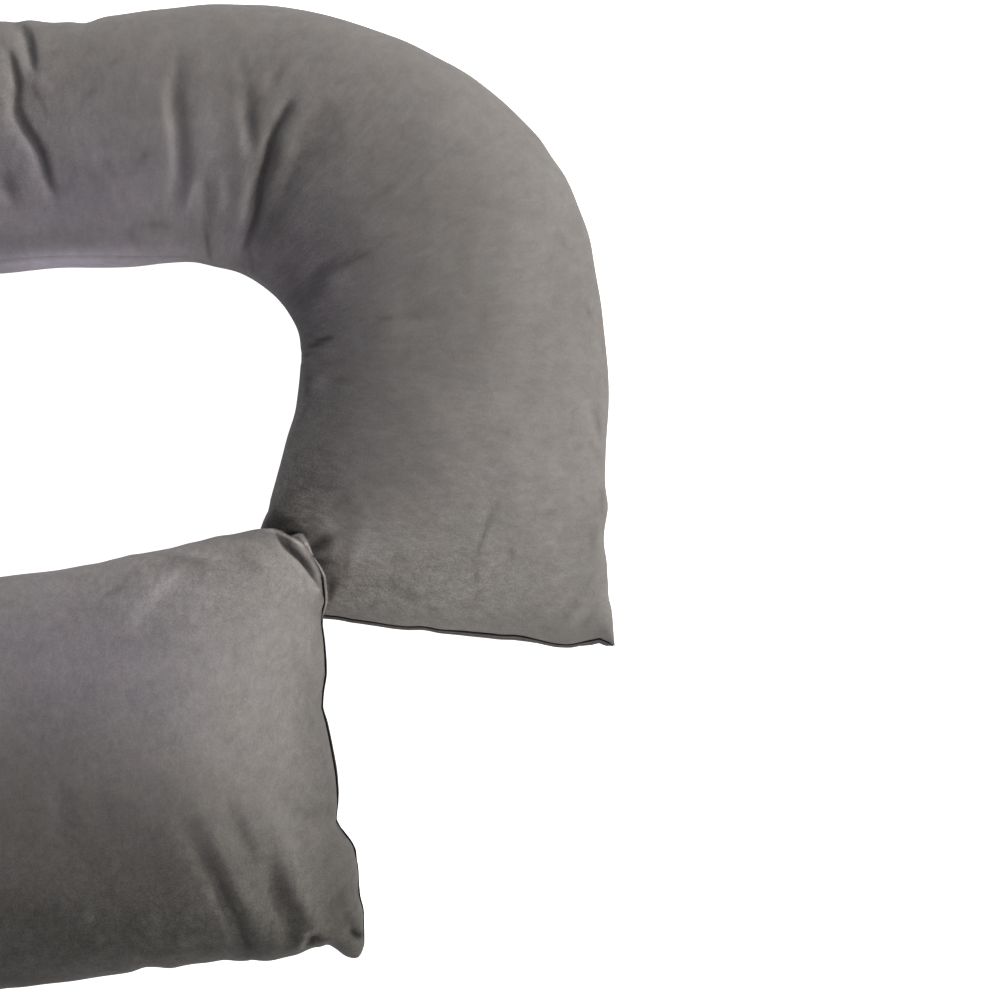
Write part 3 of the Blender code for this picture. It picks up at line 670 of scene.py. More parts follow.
# Painted shade in the bend's creases and painted light beside them.
BEND_SHADE_LINES = [
    shade_line(1.3, -160, (296.2, -23.6, 3), (301, -24.2), (305, -22.6), (309, -21.6, 8),
        (313, -22.4, 3)),
    shade_line(1.7, -55, (97, 375), (102, 369, 9), (105, 362), (107, 352), (109, 344, 9), (110, 337, 3)),
    shade_line(2.4, 16, (88, 371, 3), (95, 363), (100, 352), (104, 342, 8), (105, 337, 2)),
    shade_line(1.9, -50, (91, 349, 5), (95, 340), (98, 330), (99, 320), (99, 311, 8), (103, 299, 9),
        (107, 290), (113, 280), (117, 271), (120, 262, 9), (122, 254, 8), (124, 246, 5),
        (126, 240, 2)),
    shade_line(2.4, 16, (87, 317), (91, 308), (96, 297), (101, 286), (107, 276), (110, 266, 8),
        (113, 255)),
    shade_line(1.7, -18, (101, 339, 3), (109, 328), (115, 320), (118, 316, 2)),
    shade_line(2.2, 12, (84, 354, 3), (88, 344), (92, 330, 9), (93, 320, 3)),
    shade_line(2.8, -25, (86, 251, 6), (90, 242), (92, 231, 3)),
    shade_line(3.6, -16, (224, 345, 3), (223, 330, 8), (223, 315), (225, 301), (226, 287), (227, 273),
        (227, 260), (225, 246, 8), (222, 234, 3)),
    shade_line(1.7, 14, (211, 317, 3), (212, 304), (214, 290), (216, 275), (217, 264, 6), (217, 252, 2)),
    shade_line(2, 13, (235, 252, 3), (231, 240), (227, 230), (223, 221, 3)),
    shade_line(1.6, -24, (239, 226, 3), (240, 216), (240, 206), (240, 197, 5)),
    shade_line(2.4, 10, (255, 255, 3), (253, 237), (250, 216, 3)),
    shade_line(1.8, 14, (269, 308), (270, 293), (271, 280), (272, 270, 3)),
    shade_line(3.2, 26, (270, 283, 3), (272, 272), (274, 260), (274, 248, 9), (273, 236, 7),
        (270, 226, 5), (267, 216, 2)),
    shade_line(2.4, -8, (279, 317, 3), (279, 303), (280, 287), (282, 275)),
    shade_line(1.6, 12, (308, 317, 3), (302, 308, 9), (297, 298), (292, 287), (286, 276, 8),
        (282, 267, 3)),
    shade_line(2, -55, (308, 304, 3), (302, 296, 8), (298, 288), (294, 277), (291, 267), (288, 255),
        (285, 243), (283, 231), (279, 220, 9), (275, 209, 6), (271, 200, 3)),
    shade_line(10, -42, (303, 280, 2), (301, 266, 9), (298, 251), (294, 234), (288, 217), (283, 202, 8),
        (277, 192)),
    shade_line(2, -16, (270, 339), (272, 330, 5)),
    shade_line(2, -16, (301, 337), (296, 329), (290, 322)),
    shade_line(3, -16, (335, 306, 3), (326, 293), (319, 280), (314, 267, 6), (311, 260, 2)),
    shade_line(2.4, 10, (315, 286, 3), (309, 273), (304, 263), (301, 252, 3)),
    shade_line(2.2, -55, (315, -35, 6), (321, -33), (327, -30), (334, -27, 6), (340, -24, 2)),
    shade_line(1.8, -50, (319, -46, 7), (325, -46), (332, -47, 7), (338, -48, 2)),
    shade_line(1.4, 30, (319, -42, 5), (325, -41), (332, -40, 5)),
    shade_line(2, -16, (309, 161), (314, 167, 8), (320, 174, 9), (327, 180, 8), (335, 182, 7),
        (343, 183, 7), (350, 186, 9), (357, 190), (364, 192), (369, 194)),
    shade_line(3.4, 8, (327, 171, 3), (337, 172, 8), (346, 174), (355, 181, 8), (365, 186, 8),
        (375, 190)),
    shade_line(1.4, -18, (373, 143), (379, 143), (384, 144), (389, 145, 4), (395, 146, 6), (404, 147, 8),
        (414, 147, 8), (423, 148, 5), (432, 149, 3)),
    shade_line(2.2, 7, (392, 140), (404, 139), (415, 140, 8), (428, 142)),
    shade_line(1.2, -55, (318, 125, 6), (322, 125), (327, 127), (332, 128), (337, 129, 5)),
    shade_line(2.8, 20, (326, 119, 3), (332, 119), (339, 121), (346, 127)),
    shade_line(1.2, -40, (311, 116, 6), (315, 118), (319, 119), (323, 120, 5)),
    shade_line(1.3, 24, (313, 114, 5), (318, 115), (321, 117, 5)),
    shade_line(3.2, -22, (319, 109, 3), (318, 102), (317, 95), (315, 85, 5)),
    shade_line(3.6, 15, (326, 86, 3), (329, 92), (334, 98), (337, 102, 3)),
    shade_line(1.4, -14, (340, 97), (347, 95), (355, 95, 5)),
    shade_line(1.3, -20, (318, 80), (314, 72), (309, 64), (306, 57, 9), (303, 50)),
    shade_line(3.2, -10, (362, 228), (371, 231), (378, 235), (385, 242, 9), (389, 252)),
    shade_line(1.8, -12, (342, 237), (347, 234), (352, 231)),
    shade_line(1.8, -12, (328, 13), (337, 13), (346, 14)),
    shade_line(2.4, 10, (330, 5), (339, 6), (352, 10)),
    shade_line(1, -14, (468, 8), (465, -1), (460, -12), (456, -24), (452, -35, 9), (449, -40)),
    shade_line(0.9, -40, (518, 204, 10), (519, 204, 10)),
    shade_line(1.4, -20, (478, -36, 10), (478, -41, 10)),
    shade_line(1.1, -14, (507, -6, 10), (513, -5, 10)),
    shade_line(1.8, -16, (450, -55, 10), (449, -60, 10)),
    shade_line(1.8, -24, (393, -74, 10), (399, -73, 10)),
    shade_line(2.6, -18, (380, -63, 10), (389, -67, 10)),
    shade_line(2, -16, (348, -58, 10), (352, -60, 10)),
    shade_line(1.5, -16, (414, -84, 10), (418, -86, 10)),
    shade_line(1.6, -14, (529, -79, 10), (532, -82, 10)),
    shade_line(1.4, -26, (537, 155, 10), (539, 150, 10)),
    shade_line(2, -28, (545, 73, 10), (547, 63), (549, 56, 8)),
    shade_line(2.2, -14, (541, 47, 10), (546, 41), (548, 35, 10)),
    shade_line(2.8, -20, (544, -17, 6), (543, -25), (545, -35, 6)),
    shade_line(1.6, -22, (549, 13, 6), (551, 3), (551, -7, 6)),
    shade_line(1.8, -11, (465, 13), (460, -9), (455, -32), (449, -53, 5)),
    shade_line(3, 10, (505, -94), (514, -83), (521, -73)),
    shade_line(2.8, -10, (518, -97), (525, -87), (531, -78)),
    shade_line(3, 11, (528, -99), (537, -87), (542, -78)),
    shade_line(2.8, -10, (537, -103), (544, -91), (549, -82)),
    shade_line(3, -12, (388, -41), (393, -45), (398, -50)),
    shade_line(3, -12, (390, -69), (396, -74), (401, -77)),
    shade_line(1.4, -26, (109, 323, 5), (114, 316), (117, 309), (123, 297, 5)),
    shade_line(1.6, -32, (90, 379, 5), (94, 377), (97, 372), (99, 365, 6)),
    shade_line(1.4, -30, (240, 213, 5), (241, 202), (241, 194, 8)),
    shade_line(2.4, -15, (191, 216), (203, 217), (213, 215)),
    shade_line(2.2, -16, (318, 273), (315, 264), (311, 255), (306, 244, 6)),
    shade_line(2, -14, (339, 309), (335, 303), (330, 294, 8), (325, 286)),
    shade_line(1.4, 16, (288, 332, 5), (290, 325), (289, 318, 5)),
    shade_line(1.4, -20, (302, 335, 5), (300, 329), (298, 323, 6)),
    shade_line(1.4, -34, (321, 125, 5), (328, 127, 11), (337, 130, 8)),
    shade_line(1.6, -20, (353, 186, 3), (362, 191), (368, 194, 7)),
    shade_line(1.4, -14, (376, 142, 5), (381, 143), (385, 144, 5)),
    shade_line(1.4, -12, (398, 143, 5), (405, 144), (411, 145, 5)),
    shade_line(1.6, 16, (316, 102, 3), (320, 108), (324, 113, 5)),
    shade_line(1.8, 14, (320, 91), (326, 96), (331, 99, 5)),
    shade_line(1.2, -30, (313, 113, 6), (317, 117), (321, 119)),
    shade_line(1.4, -24, (305, 52, 6), (309, 56), (312, 61, 5)),
    shade_line(2, 14, (112, 336, 6), (117, 328), (123, 320, 8), (128, 313, 3)),
    shade_line(1.4, -16, (119, 349, 5), (126, 350), (137, 351, 5)),
    shade_line(2, -24, (158, 321), (155, 317), (152, 313)),
    shade_line(2.2, -22, (163, 283), (166, 278), (168, 272)),
    shade_line(2.2, -22, (199, 273), (196, 268), (191, 262, 6), (189, 255)),
    shade_line(2, -18, (176, 343), (172, 341), (167, 339)),
    shade_line(2.2, -8, (194, 216, 5), (202, 217), (212, 216, 8)),
    shade_line(2, -16, (186, 220, 5), (185, 215), (182, 206, 6)),
    shade_line(2, -14, (171, 255), (167, 263), (160, 266)),
    shade_line(2.4, 10, (165, 336, 3), (167, 327), (166, 318)),
    shade_line(2.2, 10, (157, 272, 3), (159, 264), (157, 257)),
    shade_line(2.8, 10, (171, 250, 3), (173, 240), (174, 227)),
    shade_line(2.6, 10, (147, 255, 3), (150, 246), (148, 237)),
    shade_line(1.2, -20, (470, 8), (465, -6), (458, -22, 12), (453, -34), (447, -50, 5)),
    shade_line(1.8, -20, (480, -35), (479, -40), (478, -46)),
    shade_line(2.2, -16, (453, -54), (452, -60), (450, -66)),
    shade_line(2, -12, (507, -9), (513, -8), (519, -6)),
    shade_line(4, 9, (340, -40), (351, -38), (365, -42, 5)),
    shade_line(1.4, -20, (272, 205, 5), (274, 195), (275, 183, 8)),
    shade_line(1.6, -16, (294, 226, 5), (293, 219), (295, 210, 5)),
    shade_line(2, -22, (318, 109, 6), (317, 98), (316, 85, 7)),
    shade_line(2.4, 14, (325, 91), (329, 96), (334, 100, 5)),
    shade_line(2.2, -18, (342, 96), (348, 97), (355, 97)),
    shade_line(1.6, -14, (337, 110), (342, 111), (348, 112)),
    shade_line(1.6, -20, (313, 72, 6), (319, 79), (323, 84, 3)),
    shade_line(2.6, -9, (403, 102), (413, 103), (426, 105)),
    shade_line(3.4, 30, (335, -52, 3), (335, -62), (334, -71), (333, -78, 6)),
    shade_line(4, 10, (338, -43, 6), (344, -49), (344, -56, 6)),
]
# Where the pile is ruffled more than elsewhere: how much of the streaks and the grain shows there.
Ruffle = namedtuple("Ruffle", "x y length width angle amount")
LONG_ARM_FROM = (23.5, 26.0)
LONG_ARM_PILE = 0.65
LONG_ARM_RUFFLES = [
    Ruffle(0.25, -0.055, 0.1, 0.04, 8, 0.55), Ruffle(0.22, -0.345, 0.2, 0.062, 0, 1.2),
    Ruffle(0.325, -0.185, 0.062, 0.018, 90, 0.5),
]
BEND_PILE = 0.40
BEND_RUFFLES = [
    Ruffle(0.314, 0.082, 0.1, 0.036, 90, 0.9), Ruffle(0.304, -0.002, 0.035, 0.035, 0, 1.5),
    Ruffle(0.336, -0.063, 0.046, 0.027, 0, 0.9), Ruffle(0.4, -0.07, 0.11, 0.04, -5, 1),
    Ruffle(0.1, 0.295, 0.046, 0.07, 0, 0.6), Ruffle(0.3, 0.258, 0.055, 0.046, 0, 0.35),
    Ruffle(0.33, 0.195, 0.046, 0.038, 0, 0.3), Ruffle(0.45, -0.01, 0.085, 0.07, 0, 0.35),
]


def cover_points():
    """The cover's points, one row of RING for each section, with what the nap needs of them."""
    at, along, length = stations()
    dense, full = plain_form(at, along, length)
    rise = column(INNER_SEAM_RISE, "metres", at) * full
    corner = np.interp(at, CORNER_ROWS, (0, 1))
    points, to_seam, across = rings(dense, rise, corner)
    upper = (np.arange(RING) < UPPER_POINTS)[None, :]
    from_edge = np.minimum(along, length - along)[:, None]
    x, y, z = points[..., 0], points[..., 1], points[..., 2]
    depth = np.zeros_like(x)
    row = at[:, None] + np.zeros_like(x)
    for group in FOLD_GROUPS:
        here = (row >= group.first_row) & (row <= group.last_row) & upper
        for fold in group.folds:
            depth += fold_depth(fold, x, y) * here
    depth *= np.clip(from_edge / FOLD_CLEAR, 0, 1)
    off_floor = np.clip(z / FLOOR_CLEAR, 0, 1)
    for lumps in LUMPS:
        clear = off_floor * np.clip(from_edge / lumps.edge_clear, 0, 1)
        depth -= lumps.height * lumpiness(points, lumps.size, lumps.seed) * clear
    in_seam = np.exp(-((to_seam / SEAM_WIDTH) ** 2)) * (1 - corner[:, None])
    depth += SEAM_DEPTH * in_seam * np.clip(from_edge / SEAM_CLEAR, 0, 1)
    points = points - normals_of(points) * depth[..., None]
    untucked = points.copy()
    for tuck in CORNER_TUCKS:
        points[..., 2] -= fold_depth(tuck, x, y) * ((row >= TUCK_FROM_ROW) & upper)
    points[..., 2] = np.maximum(points[..., 2], 0)
    drawn = across * np.interp(at, DRAW_ROWS, DRAW)[:, None]
    lie = np.stack([along[:, None] + np.zeros_like(across), drawn, np.zeros_like(across)], axis=-1)
    return points, at, in_seam, lie, untucked


def spread(patch, x, y):
    """How strongly a patch shows at places seen from above."""
    turn = np.radians(patch.angle)
    u = (x - patch.x) * np.cos(turn) + (y - patch.y) * np.sin(turn)
    v = (y - patch.y) * np.cos(turn) - (x - patch.x) * np.sin(turn)
    return np.exp(-((u / patch.length) ** 2) - (v / patch.width) ** 2)


def long_arm_share(rows):
    """0 on the bend and 1 on the long arm, with a soft change between the rows of LONG_ARM_FROM."""
    share = np.clip((rows - LONG_ARM_FROM[0]) / (LONG_ARM_FROM[1] - LONG_ARM_FROM[0]), 0, 1)
    return share * share * (3 - 2 * share)


def ruffled(points, rows):
    """How ruffled the pile is at each point."""
    x, y = points[..., 0], points[..., 1]
    share = long_arm_share(rows)
    amount = BEND_PILE + (LONG_ARM_PILE - BEND_PILE) * share
    for ruffles, here in ((LONG_ARM_RUFFLES, share), (BEND_RUFFLES, 1 - share)):
        for ruffle in ruffles:
            amount = amount + ruffle.amount * spread(ruffle, x, y) * here
    return amount


def painted_shading(points, rows):
    """The red, green and blue share of the velvet's colour at each point, from painted shade and
    light.
    """
    x, y = points[..., 0], points[..., 1]
    tone = np.zeros_like(x)
    cool = np.zeros_like(x)
    share = long_arm_share(rows)
    for patches, lines, here in (
        (LONG_ARM_PAINTED_LIGHT, LONG_ARM_SHADE_LINES, share),
        (BEND_PAINTED_LIGHT, BEND_SHADE_LINES, 1 - share),
    ):
        for patch in patches:
            soft = spread(patch, x, y) * here
            tone += patch.tone * soft
            cool += patch.cool * soft
        for line in lines:
            tone += fold_depth(line, x, y) * here
    gain = np.exp(tone)
    return np.stack([gain * (1 + COOL_RED * cool), gain, gain * (1 + COOL_BLUE * cool)], axis=-1)


def new_mesh(name, points, faces):
    mesh = bpy.data.meshes.new(name)
    mesh.from_pydata([tuple(map(float, p)) for p in points], [], faces)
    work = bmesh.new()
    work.from_mesh(mesh)
    bmesh.ops.recalc_face_normals(work, faces=work.faces)
    work.to_mesh(mesh)
    work.free()
    mesh.shade_smooth()
    made = bpy.data.objects.new(name, mesh)
    bpy.context.scene.collection.objects.link(made)
    return made


def ring_faces(count, around):
    """Four-sided faces between each ring of points and the next."""
    made = []
    for i in range(0, (count - 1) * around, around):
        for j in range(around):
            beside = (j + 1) % around
            made.append((i + j, i + beside, i + around + beside, i + around + j))
    return made


def closed_sweep(count, around):
    ends = [tuple(range(around)), tuple((count - 1) * around + j for j in range(around))]
    return ring_faces(count, around) + ends


def end_cap(loop, start):
    """Triangles between the two panels' edges of one end of the cover, so that a wavy edge stays
    open."""
    upper = list(range(UPPER_POINTS + 1))
    under = [0] + list(range(RING - 1, UPPER_POINTS - 1, -1))
    upper_run, under_run = run_along(loop[upper]), run_along(loop[under])
    upper_share, under_share = upper_run / upper_run[-1], under_run / under_run[-1]
    made, i, j = [], 0, 0
    while i < len(upper) - 1 or j < len(under) - 1:
        go_upper = j == len(under) - 1 or (
            i < len(upper) - 1 and upper_share[i + 1] <= under_share[j + 1]
        )
        corner = upper[i + 1] if go_upper else under[j + 1]
        triangle = (upper[i], under[j], corner)
        if len(set(triangle)) == 3:
            made.append(tuple(start + k for k in triangle))
        i, j = (i + 1, j) if go_upper else (i, j + 1)
    return made


def brush(made, shares, pile, lie):
    """Writes on a piece's points the shares of painted shade and light, how ruffled the pile is and
    the way it lies.
    """
    layer = made.data.color_attributes.new("painted_shading", "FLOAT_COLOR", "POINT")
    colour = np.concatenate([shares.reshape(-1, 3), pile.reshape(-1, 1)], axis=1)
    layer.data.foreach_set("color", colour.ravel())
    way = made.data.attributes.new("lie", "FLOAT_VECTOR", "POINT")
    way.data.foreach_set("vector", lie.reshape(-1, 3).ravel())


def on_frame(points):
    """Places from the sections' own coordinates to the frame's."""
    low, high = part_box("pillow")
    return points + np.array([(low.x + high.x) / 2, (low.y + high.y) / 2, 0.0]) - MIDDLE


# The folded edge that the panel makes where it turns down into the corner's tuck: its path, with
# how much of its width it has there, and its outline from the panel out over the tuck and back.
HEM_PATH = path_of(
    (288.1, -21.8, 2), (290.9, -24.2, 6), (293.3, -28.6), (297.3, -35), (302, -39.2),
    (307.6, -43.9), (312.4, -49.3), (317.1, -56), (321.1, -61.6, 9), (324.5, -67.2, 5),
)
Hem = namedtuple("Hem", "out up calm")
HEM = metres(
    Hem,
    (-8.5, -0.7, -8.5), (-5.5, 0, -5.5), (-3, 0.2, -3.5), (-1.2, 0.3, -3), (-0.2, 0.2, -2.8),
    (0.4, -0.4, -2.6), (0.3, -1.4, -2.6), (-1.2, -2.2, -2.6), (-6, -2.6, -6),
)
HEM_FROM_ROW = 31
HEM_NEIGHBOURS = 12
HEM_STEPS = 6


def on_cover(known, values, x, y):
    """Values at a place beside known points, from a plane through the nearest of them."""
    gap = known - (x, y)
    near = np.argsort((gap**2).sum(axis=1))[:HEM_NEIGHBOURS]
    design = np.concatenate([gap[near], np.ones((len(near), 1))], axis=1)
    return np.linalg.lstsq(design, values[near], rcond=None)[0][2]


def make_hem(untucked, lie):
    """Points, faces and lie of the folded edge, with the places it takes its painted shade and
    light from.
    """
    first = int(np.searchsorted(rows, HEM_FROM_ROW))
    known = untucked[first:, :UPPER_POINTS].reshape(-1, 3)
    values = np.concatenate([known[:, 2:3], lie[first:, :UPPER_POINTS].reshape(-1, 3)], axis=1)
    path = curve(HEM_PATH, HEM_STEPS)
    made, ways, calm = [], [], []
    for place, east in zip(path, ways_left(path)):
        for rim in HEM:
            x, y = place[:2] + east * rim.out * (place[2] if rim.out < 0 else 1)
            at = on_cover(known[:, :2], values, x, y)
            made.append((x, y, at[0] + rim.up * place[2]))
            ways.append(at[1:])
            calm.append((*(place[:2] + east * rim.calm), at[0]))
    return np.array(made), np.array(ways), np.array(calm), closed_sweep(len(path), len(HEM))


points, rows, in_seam, lie, untucked = cover_points()
flat = points.reshape(-1, 3)
MIDDLE = (flat.min(axis=0) + flat.max(axis=0)) / 2
MIDDLE[2] = 0.0
faces = ring_faces(len(points), RING)
faces += end_cap(points[0], 0)
faces += end_cap(points[-1], len(flat) - RING)
at_rows = rows[:, None] + np.zeros(RING)
shares = painted_shading(points, at_rows) * (1 - SEAM_SHADE * in_seam[..., None])
hem, hem_lie, hem_calm, hem_faces = make_hem(untucked, lie)
hem_rows = np.full(len(hem), LAST_ROW)
faces += [tuple(len(flat) + k for k in face) for face in hem_faces]
cover = new_mesh("velvet_cover", on_frame(np.concatenate([flat, hem])), faces)
brush(
    cover,
    np.concatenate([shares.reshape(-1, 3), painted_shading(hem_calm, hem_rows)]),
    np.concatenate([ruffled(points, at_rows).ravel(), ruffled(hem, hem_rows)]),
    np.concatenate([lie.reshape(-1, 3), hem_lie]),
)


# ---- Closing lips ----
# The lip's outline across its edge: the way out from the panel's edge, the way up, and the painted
# shade: how much of the velvet's colour is left, darkest in the groove beside the panel.
Rim = namedtuple("Rim", "away up shade")
SHORT_LIP = [
    Rim(-0.0008, -0.0034, 0.6), Rim(-0.0008, -0.0018, 0.4), Rim(0.0002, -0.0024, 0.25),
    Rim(0.0009, -0.0014, 0.4), Rim(0.0011, -0.0002, 0.85), Rim(0.0015, 0.0003, 1),
    Rim(0.002, 0, 0.9), Rim(0.0022, -0.0006, 0.45), Rim(0.0025, -0.0003, 0.85),
    Rim(0.003, -0.0004, 1), Rim(0.0034, -0.001, 0.9), Rim(0.0035, -0.002, 0.7),
    Rim(0.0028, -0.0032, 0.6), Rim(0.0014, -0.0037, 0.5),
]
LONG_LIP = [
    Rim(-0.0008, -0.003, 0.3), Rim(-0.0008, -0.0016, 0.2), Rim(0.0003, -0.0026, 0.15),
    Rim(0.0011, -0.0022, 0.2), Rim(0.0014, -0.0008, 0.7), Rim(0.0017, -0.0002, 1),
    Rim(0.0021, -0.0006, 0.5), Rim(0.0024, -0.0003, 1), Rim(0.0027, -0.001, 0.8),
    Rim(0.0026, -0.0024, 0.5), Rim(0.0014, -0.0034, 0.4),
]
# How far a lip stands out, and the painted light (above 1) and painted shade (below 1) on its outer
# strip and on the gap beside the panel, by its share of the edge from the inner end.
LipWay = namedtuple("LipWay", "share out pale gap")
SHORT_LIP_WAY = [
    LipWay(0, 1, 1, 1), LipWay(0.52, 1, 1, 1), LipWay(0.62, 1.3, 1, 1), LipWay(0.75, 1.4, 1, 1),
    LipWay(0.8, 1, 1, 1), LipWay(0.9, 1, 1, 1), LipWay(0.93, 1.4, 1, 1), LipWay(0.97, 1.3, 1, 1),
    LipWay(1, 0.9, 1, 1),
]
LONG_LIP_WAY = [
    LipWay(0, 0, 1, 2.6), LipWay(0.04, 0.3, 2.2, 4), LipWay(0.06, 0.9, 2.2, 4),
    LipWay(0.09, 1.4, 2.2, 1.2), LipWay(0.125, 1.4, 2.8, 1), LipWay(0.16, 1, 2.4, 1),
    LipWay(0.2, 0.5, 0.3, 1), LipWay(0.28, 0.7, 0.2, 1), LipWay(0.386, 0.6, 0.2, 1),
    LipWay(0.42, 0.8, 0.6, 1), LipWay(0.52, 0.9, 1, 1), LipWay(0.585, 0.7, 1, 1),
    LipWay(0.625, 0.2, 0.8, 1), LipWay(0.655, 0.25, 0.3, 0.5), LipWay(0.68, 0.5, 0.1, 1),
    LipWay(0.735, 0.6, 0.1, 1), LipWay(0.755, 0.2, 0.1, 1), LipWay(0.775, 0.25, 2, 2),
    LipWay(0.8, 0.25, 2, 2), LipWay(0.825, 0.5, 0.2, 1), LipWay(0.855, 0.4, 0.2, 1),
    LipWay(0.875, 0.3, 0.3, 0.5), LipWay(1, 0.15, 0.6, 0.8),
]
LIP_STEP = 0.0011
SHORT_LIP_SPAN = (0.004, 0.985)
LONG_LIP_SPAN = (0.03, 0.97)
LIP_EDGE_POINTS = 200
LIP_TAPER_STEPS, LIP_END_SHARE = 4, 0.3
LIP_GAP_ROWS, LIP_CHANGE_ROWS = 3, 2


def lip_line(edge, span):
    """The middle of a closing edge over a span of its shares, with the shares."""
    upper = edge[: UPPER_POINTS + 1]
    under = np.concatenate([edge[UPPER_POINTS:], edge[:1]])[::-1]
    middle = 0
    for side in (upper, under):
        run = run_along(side)
        middle = middle + places_on(side, run, np.linspace(0, run[-1], LIP_EDGE_POINTS)) / 2
    run = run_along(middle)
    want = np.arange(span[0] * run[-1], span[1] * run[-1], LIP_STEP)
    return places_on(middle, run, want), want / run[-1]


def make_lip(edge, profile, ways, span, side):
    """Points, shades and faces of a lip swept along a span of a closing edge, in shares of the
    edge from its outer end."""
    path, share = lip_line(edge, span)
    out, pale, gap = (column(ways, field, 1 - share) for field in ("out", "pale", "gap"))
    made, shades = [], []
    for i, (place, way) in enumerate(zip(path, ways_left(path) * side)):
        to_end = min(i, len(path) - 1 - i) / LIP_TAPER_STEPS
        taper = min(1.0, LIP_END_SHARE + (1 - LIP_END_SHARE) * to_end)
        for k, rim in enumerate(profile):
            reach = rim.away * (out[i] * taper if rim.away > 0 else 1.0)
            made.append((*(place[:2] + way * reach), place[2] + rim.up * taper))
            # Painted shade and light: the gap's factor on the inner rows, the outer strip's beyond
            # them.
            outer_strip = min(1.0, max(0.0, (k - LIP_GAP_ROWS) / LIP_CHANGE_ROWS))
            shades.append(rim.shade * (gap[i] + (pale[i] - gap[i]) * outer_strip))
    return np.array(made), np.array(shades), closed_sweep(len(path), len(profile))


# The tab of seam allowance behind the long arm's inner corner. Its foot lies under the corner's
# rim.
# dark is how much painted shadow lies on the rim's outer edge, where the tab meets the arm behind.
Tab = namedtuple("Tab", "foot_x foot_y rim_x rim_y dark")
CORNER_TAB = [
    Tab(0.3003, -0.0277, 0.3024, -0.0254, 1), Tab(0.3031, -0.0289, 0.3056, -0.0242, 1),
    Tab(0.3063, -0.0309, 0.3088, -0.0234, 0.9), Tab(0.3095, -0.0329, 0.3114, -0.024, 0.4),
    Tab(0.3119, -0.0349, 0.3135, -0.0268, 0), Tab(0.3143, -0.0377, 0.3158, -0.0313, 0),
    Tab(0.3159, -0.0401, 0.3176, -0.0364, 0), Tab(0.3171, -0.0421, 0.3194, -0.0412, 0),
]
TAB_FOOT_HEIGHT, TAB_RIM_HEIGHT, TAB_THICKNESS = 0.081, 0.087, 0.0020
# Across the tab: the share of the way from foot to rim, the lift, and the shade: painted light
# above 1 that lifts the tab out of the corner's shade, least at its foot.
TabRow = namedtuple("TabRow", "share up shade")
TAB_ROWS = [
    TabRow(0, 0, 1.4), TabRow(0.25, 0.0008, 2.45), TabRow(0.5, 0.0012, 2.55),
    TabRow(0.78, 0.0008, 2.35), TabRow(0.96, -0.0002, 1.7),
]
TAB_STEPS = 5
# How far the rim stands beyond its line half way down and at its under side, and the painted shade
# there, with painted shadow where the tab's dark is full.
RIM_BULGE, RIM_UNDER = 0.0004, 0.0009
RIM_SHADE, UNDER_SHADE, FOOT_SHADE = 1.0, 0.8, 0.5
RIM_DARK, UNDER_DARK = 0.9, 0.75


def make_tab():
    path = curve(CORNER_TAB, TAB_STEPS)
    made, shades = [], []
    under = np.array((0.0, 0.0, -TAB_THICKNESS))
    for foot_x, foot_y, rim_x, rim_y, dark in path:
        foot = np.array((foot_x, foot_y, TAB_FOOT_HEIGHT))
        rim = np.array((rim_x, rim_y, TAB_RIM_HEIGHT))
        for row in TAB_ROWS:
            made.append(foot + (rim - foot) * row.share + np.array((0.0, 0.0, row.up)))
            shades.append(row.shade)
        beyond = (rim - foot) / np.linalg.norm((rim - foot)[:2])
        made.append(rim + beyond * RIM_BULGE + under / 2)
        made += [rim + beyond * RIM_UNDER + under, foot + under]
        shades += [RIM_SHADE - RIM_DARK * dark, UNDER_SHADE - UNDER_DARK * dark, FOOT_SHADE]
    return np.array(made), np.array(shades), closed_sweep(len(path), len(TAB_ROWS) + 3)


def lip_piece(name, row, *parts):
    """One piece of the lips' velvet, joined from closed parts."""
    placed = np.concatenate([part[0] for part in parts])
    shades = np.concatenate([part[1] for part in parts])
    lip_faces, start = [], 0
    for part in parts:
        lip_faces += [tuple(start + k for k in face) for face in part[2]]
        start += len(part[0])
    lip = new_mesh(name, on_frame(placed), lip_faces)
    of_row = np.full(len(placed), row)
    brush(lip, painted_shading(placed, of_row) * shades[:, None], ruffled(placed, of_row), placed)
    return lip


short_part = make_lip(points[0], SHORT_LIP, SHORT_LIP_WAY, SHORT_LIP_SPAN, 1)
long_part = make_lip(points[-1], LONG_LIP, LONG_LIP_WAY, LONG_LIP_SPAN, -1)
short_lip = lip_piece("short_arm_lip", 0, short_part)
long_lip = lip_piece("long_arm_lip", LAST_ROW, long_part, make_tab())


# ---- Velvet ----
def feed(tree, node, inputs):
    """Links a node's inputs to sockets, or sets them to values."""
    for key, source in inputs.items():
        if isinstance(source, bpy.types.NodeSocket):
            tree.links.new(source, node.inputs[key])
        else:
            node.inputs[key].default_value = source
    return node


def add_node(tree, kind, inputs, **settings):
    node = tree.nodes.new(kind)
    for key, value in settings.items():
        setattr(node, key, value)
    return feed(tree, node, inputs)


def ramp(tree, source, low, high, start, end):
    """A value taken from between low and high to between start and end."""
    inputs = {"Value": source, "From Min": low, "From Max": high, "To Min": start, "To Max": end}
    return add_node(tree, "ShaderNodeMapRange", inputs).outputs["Result"]


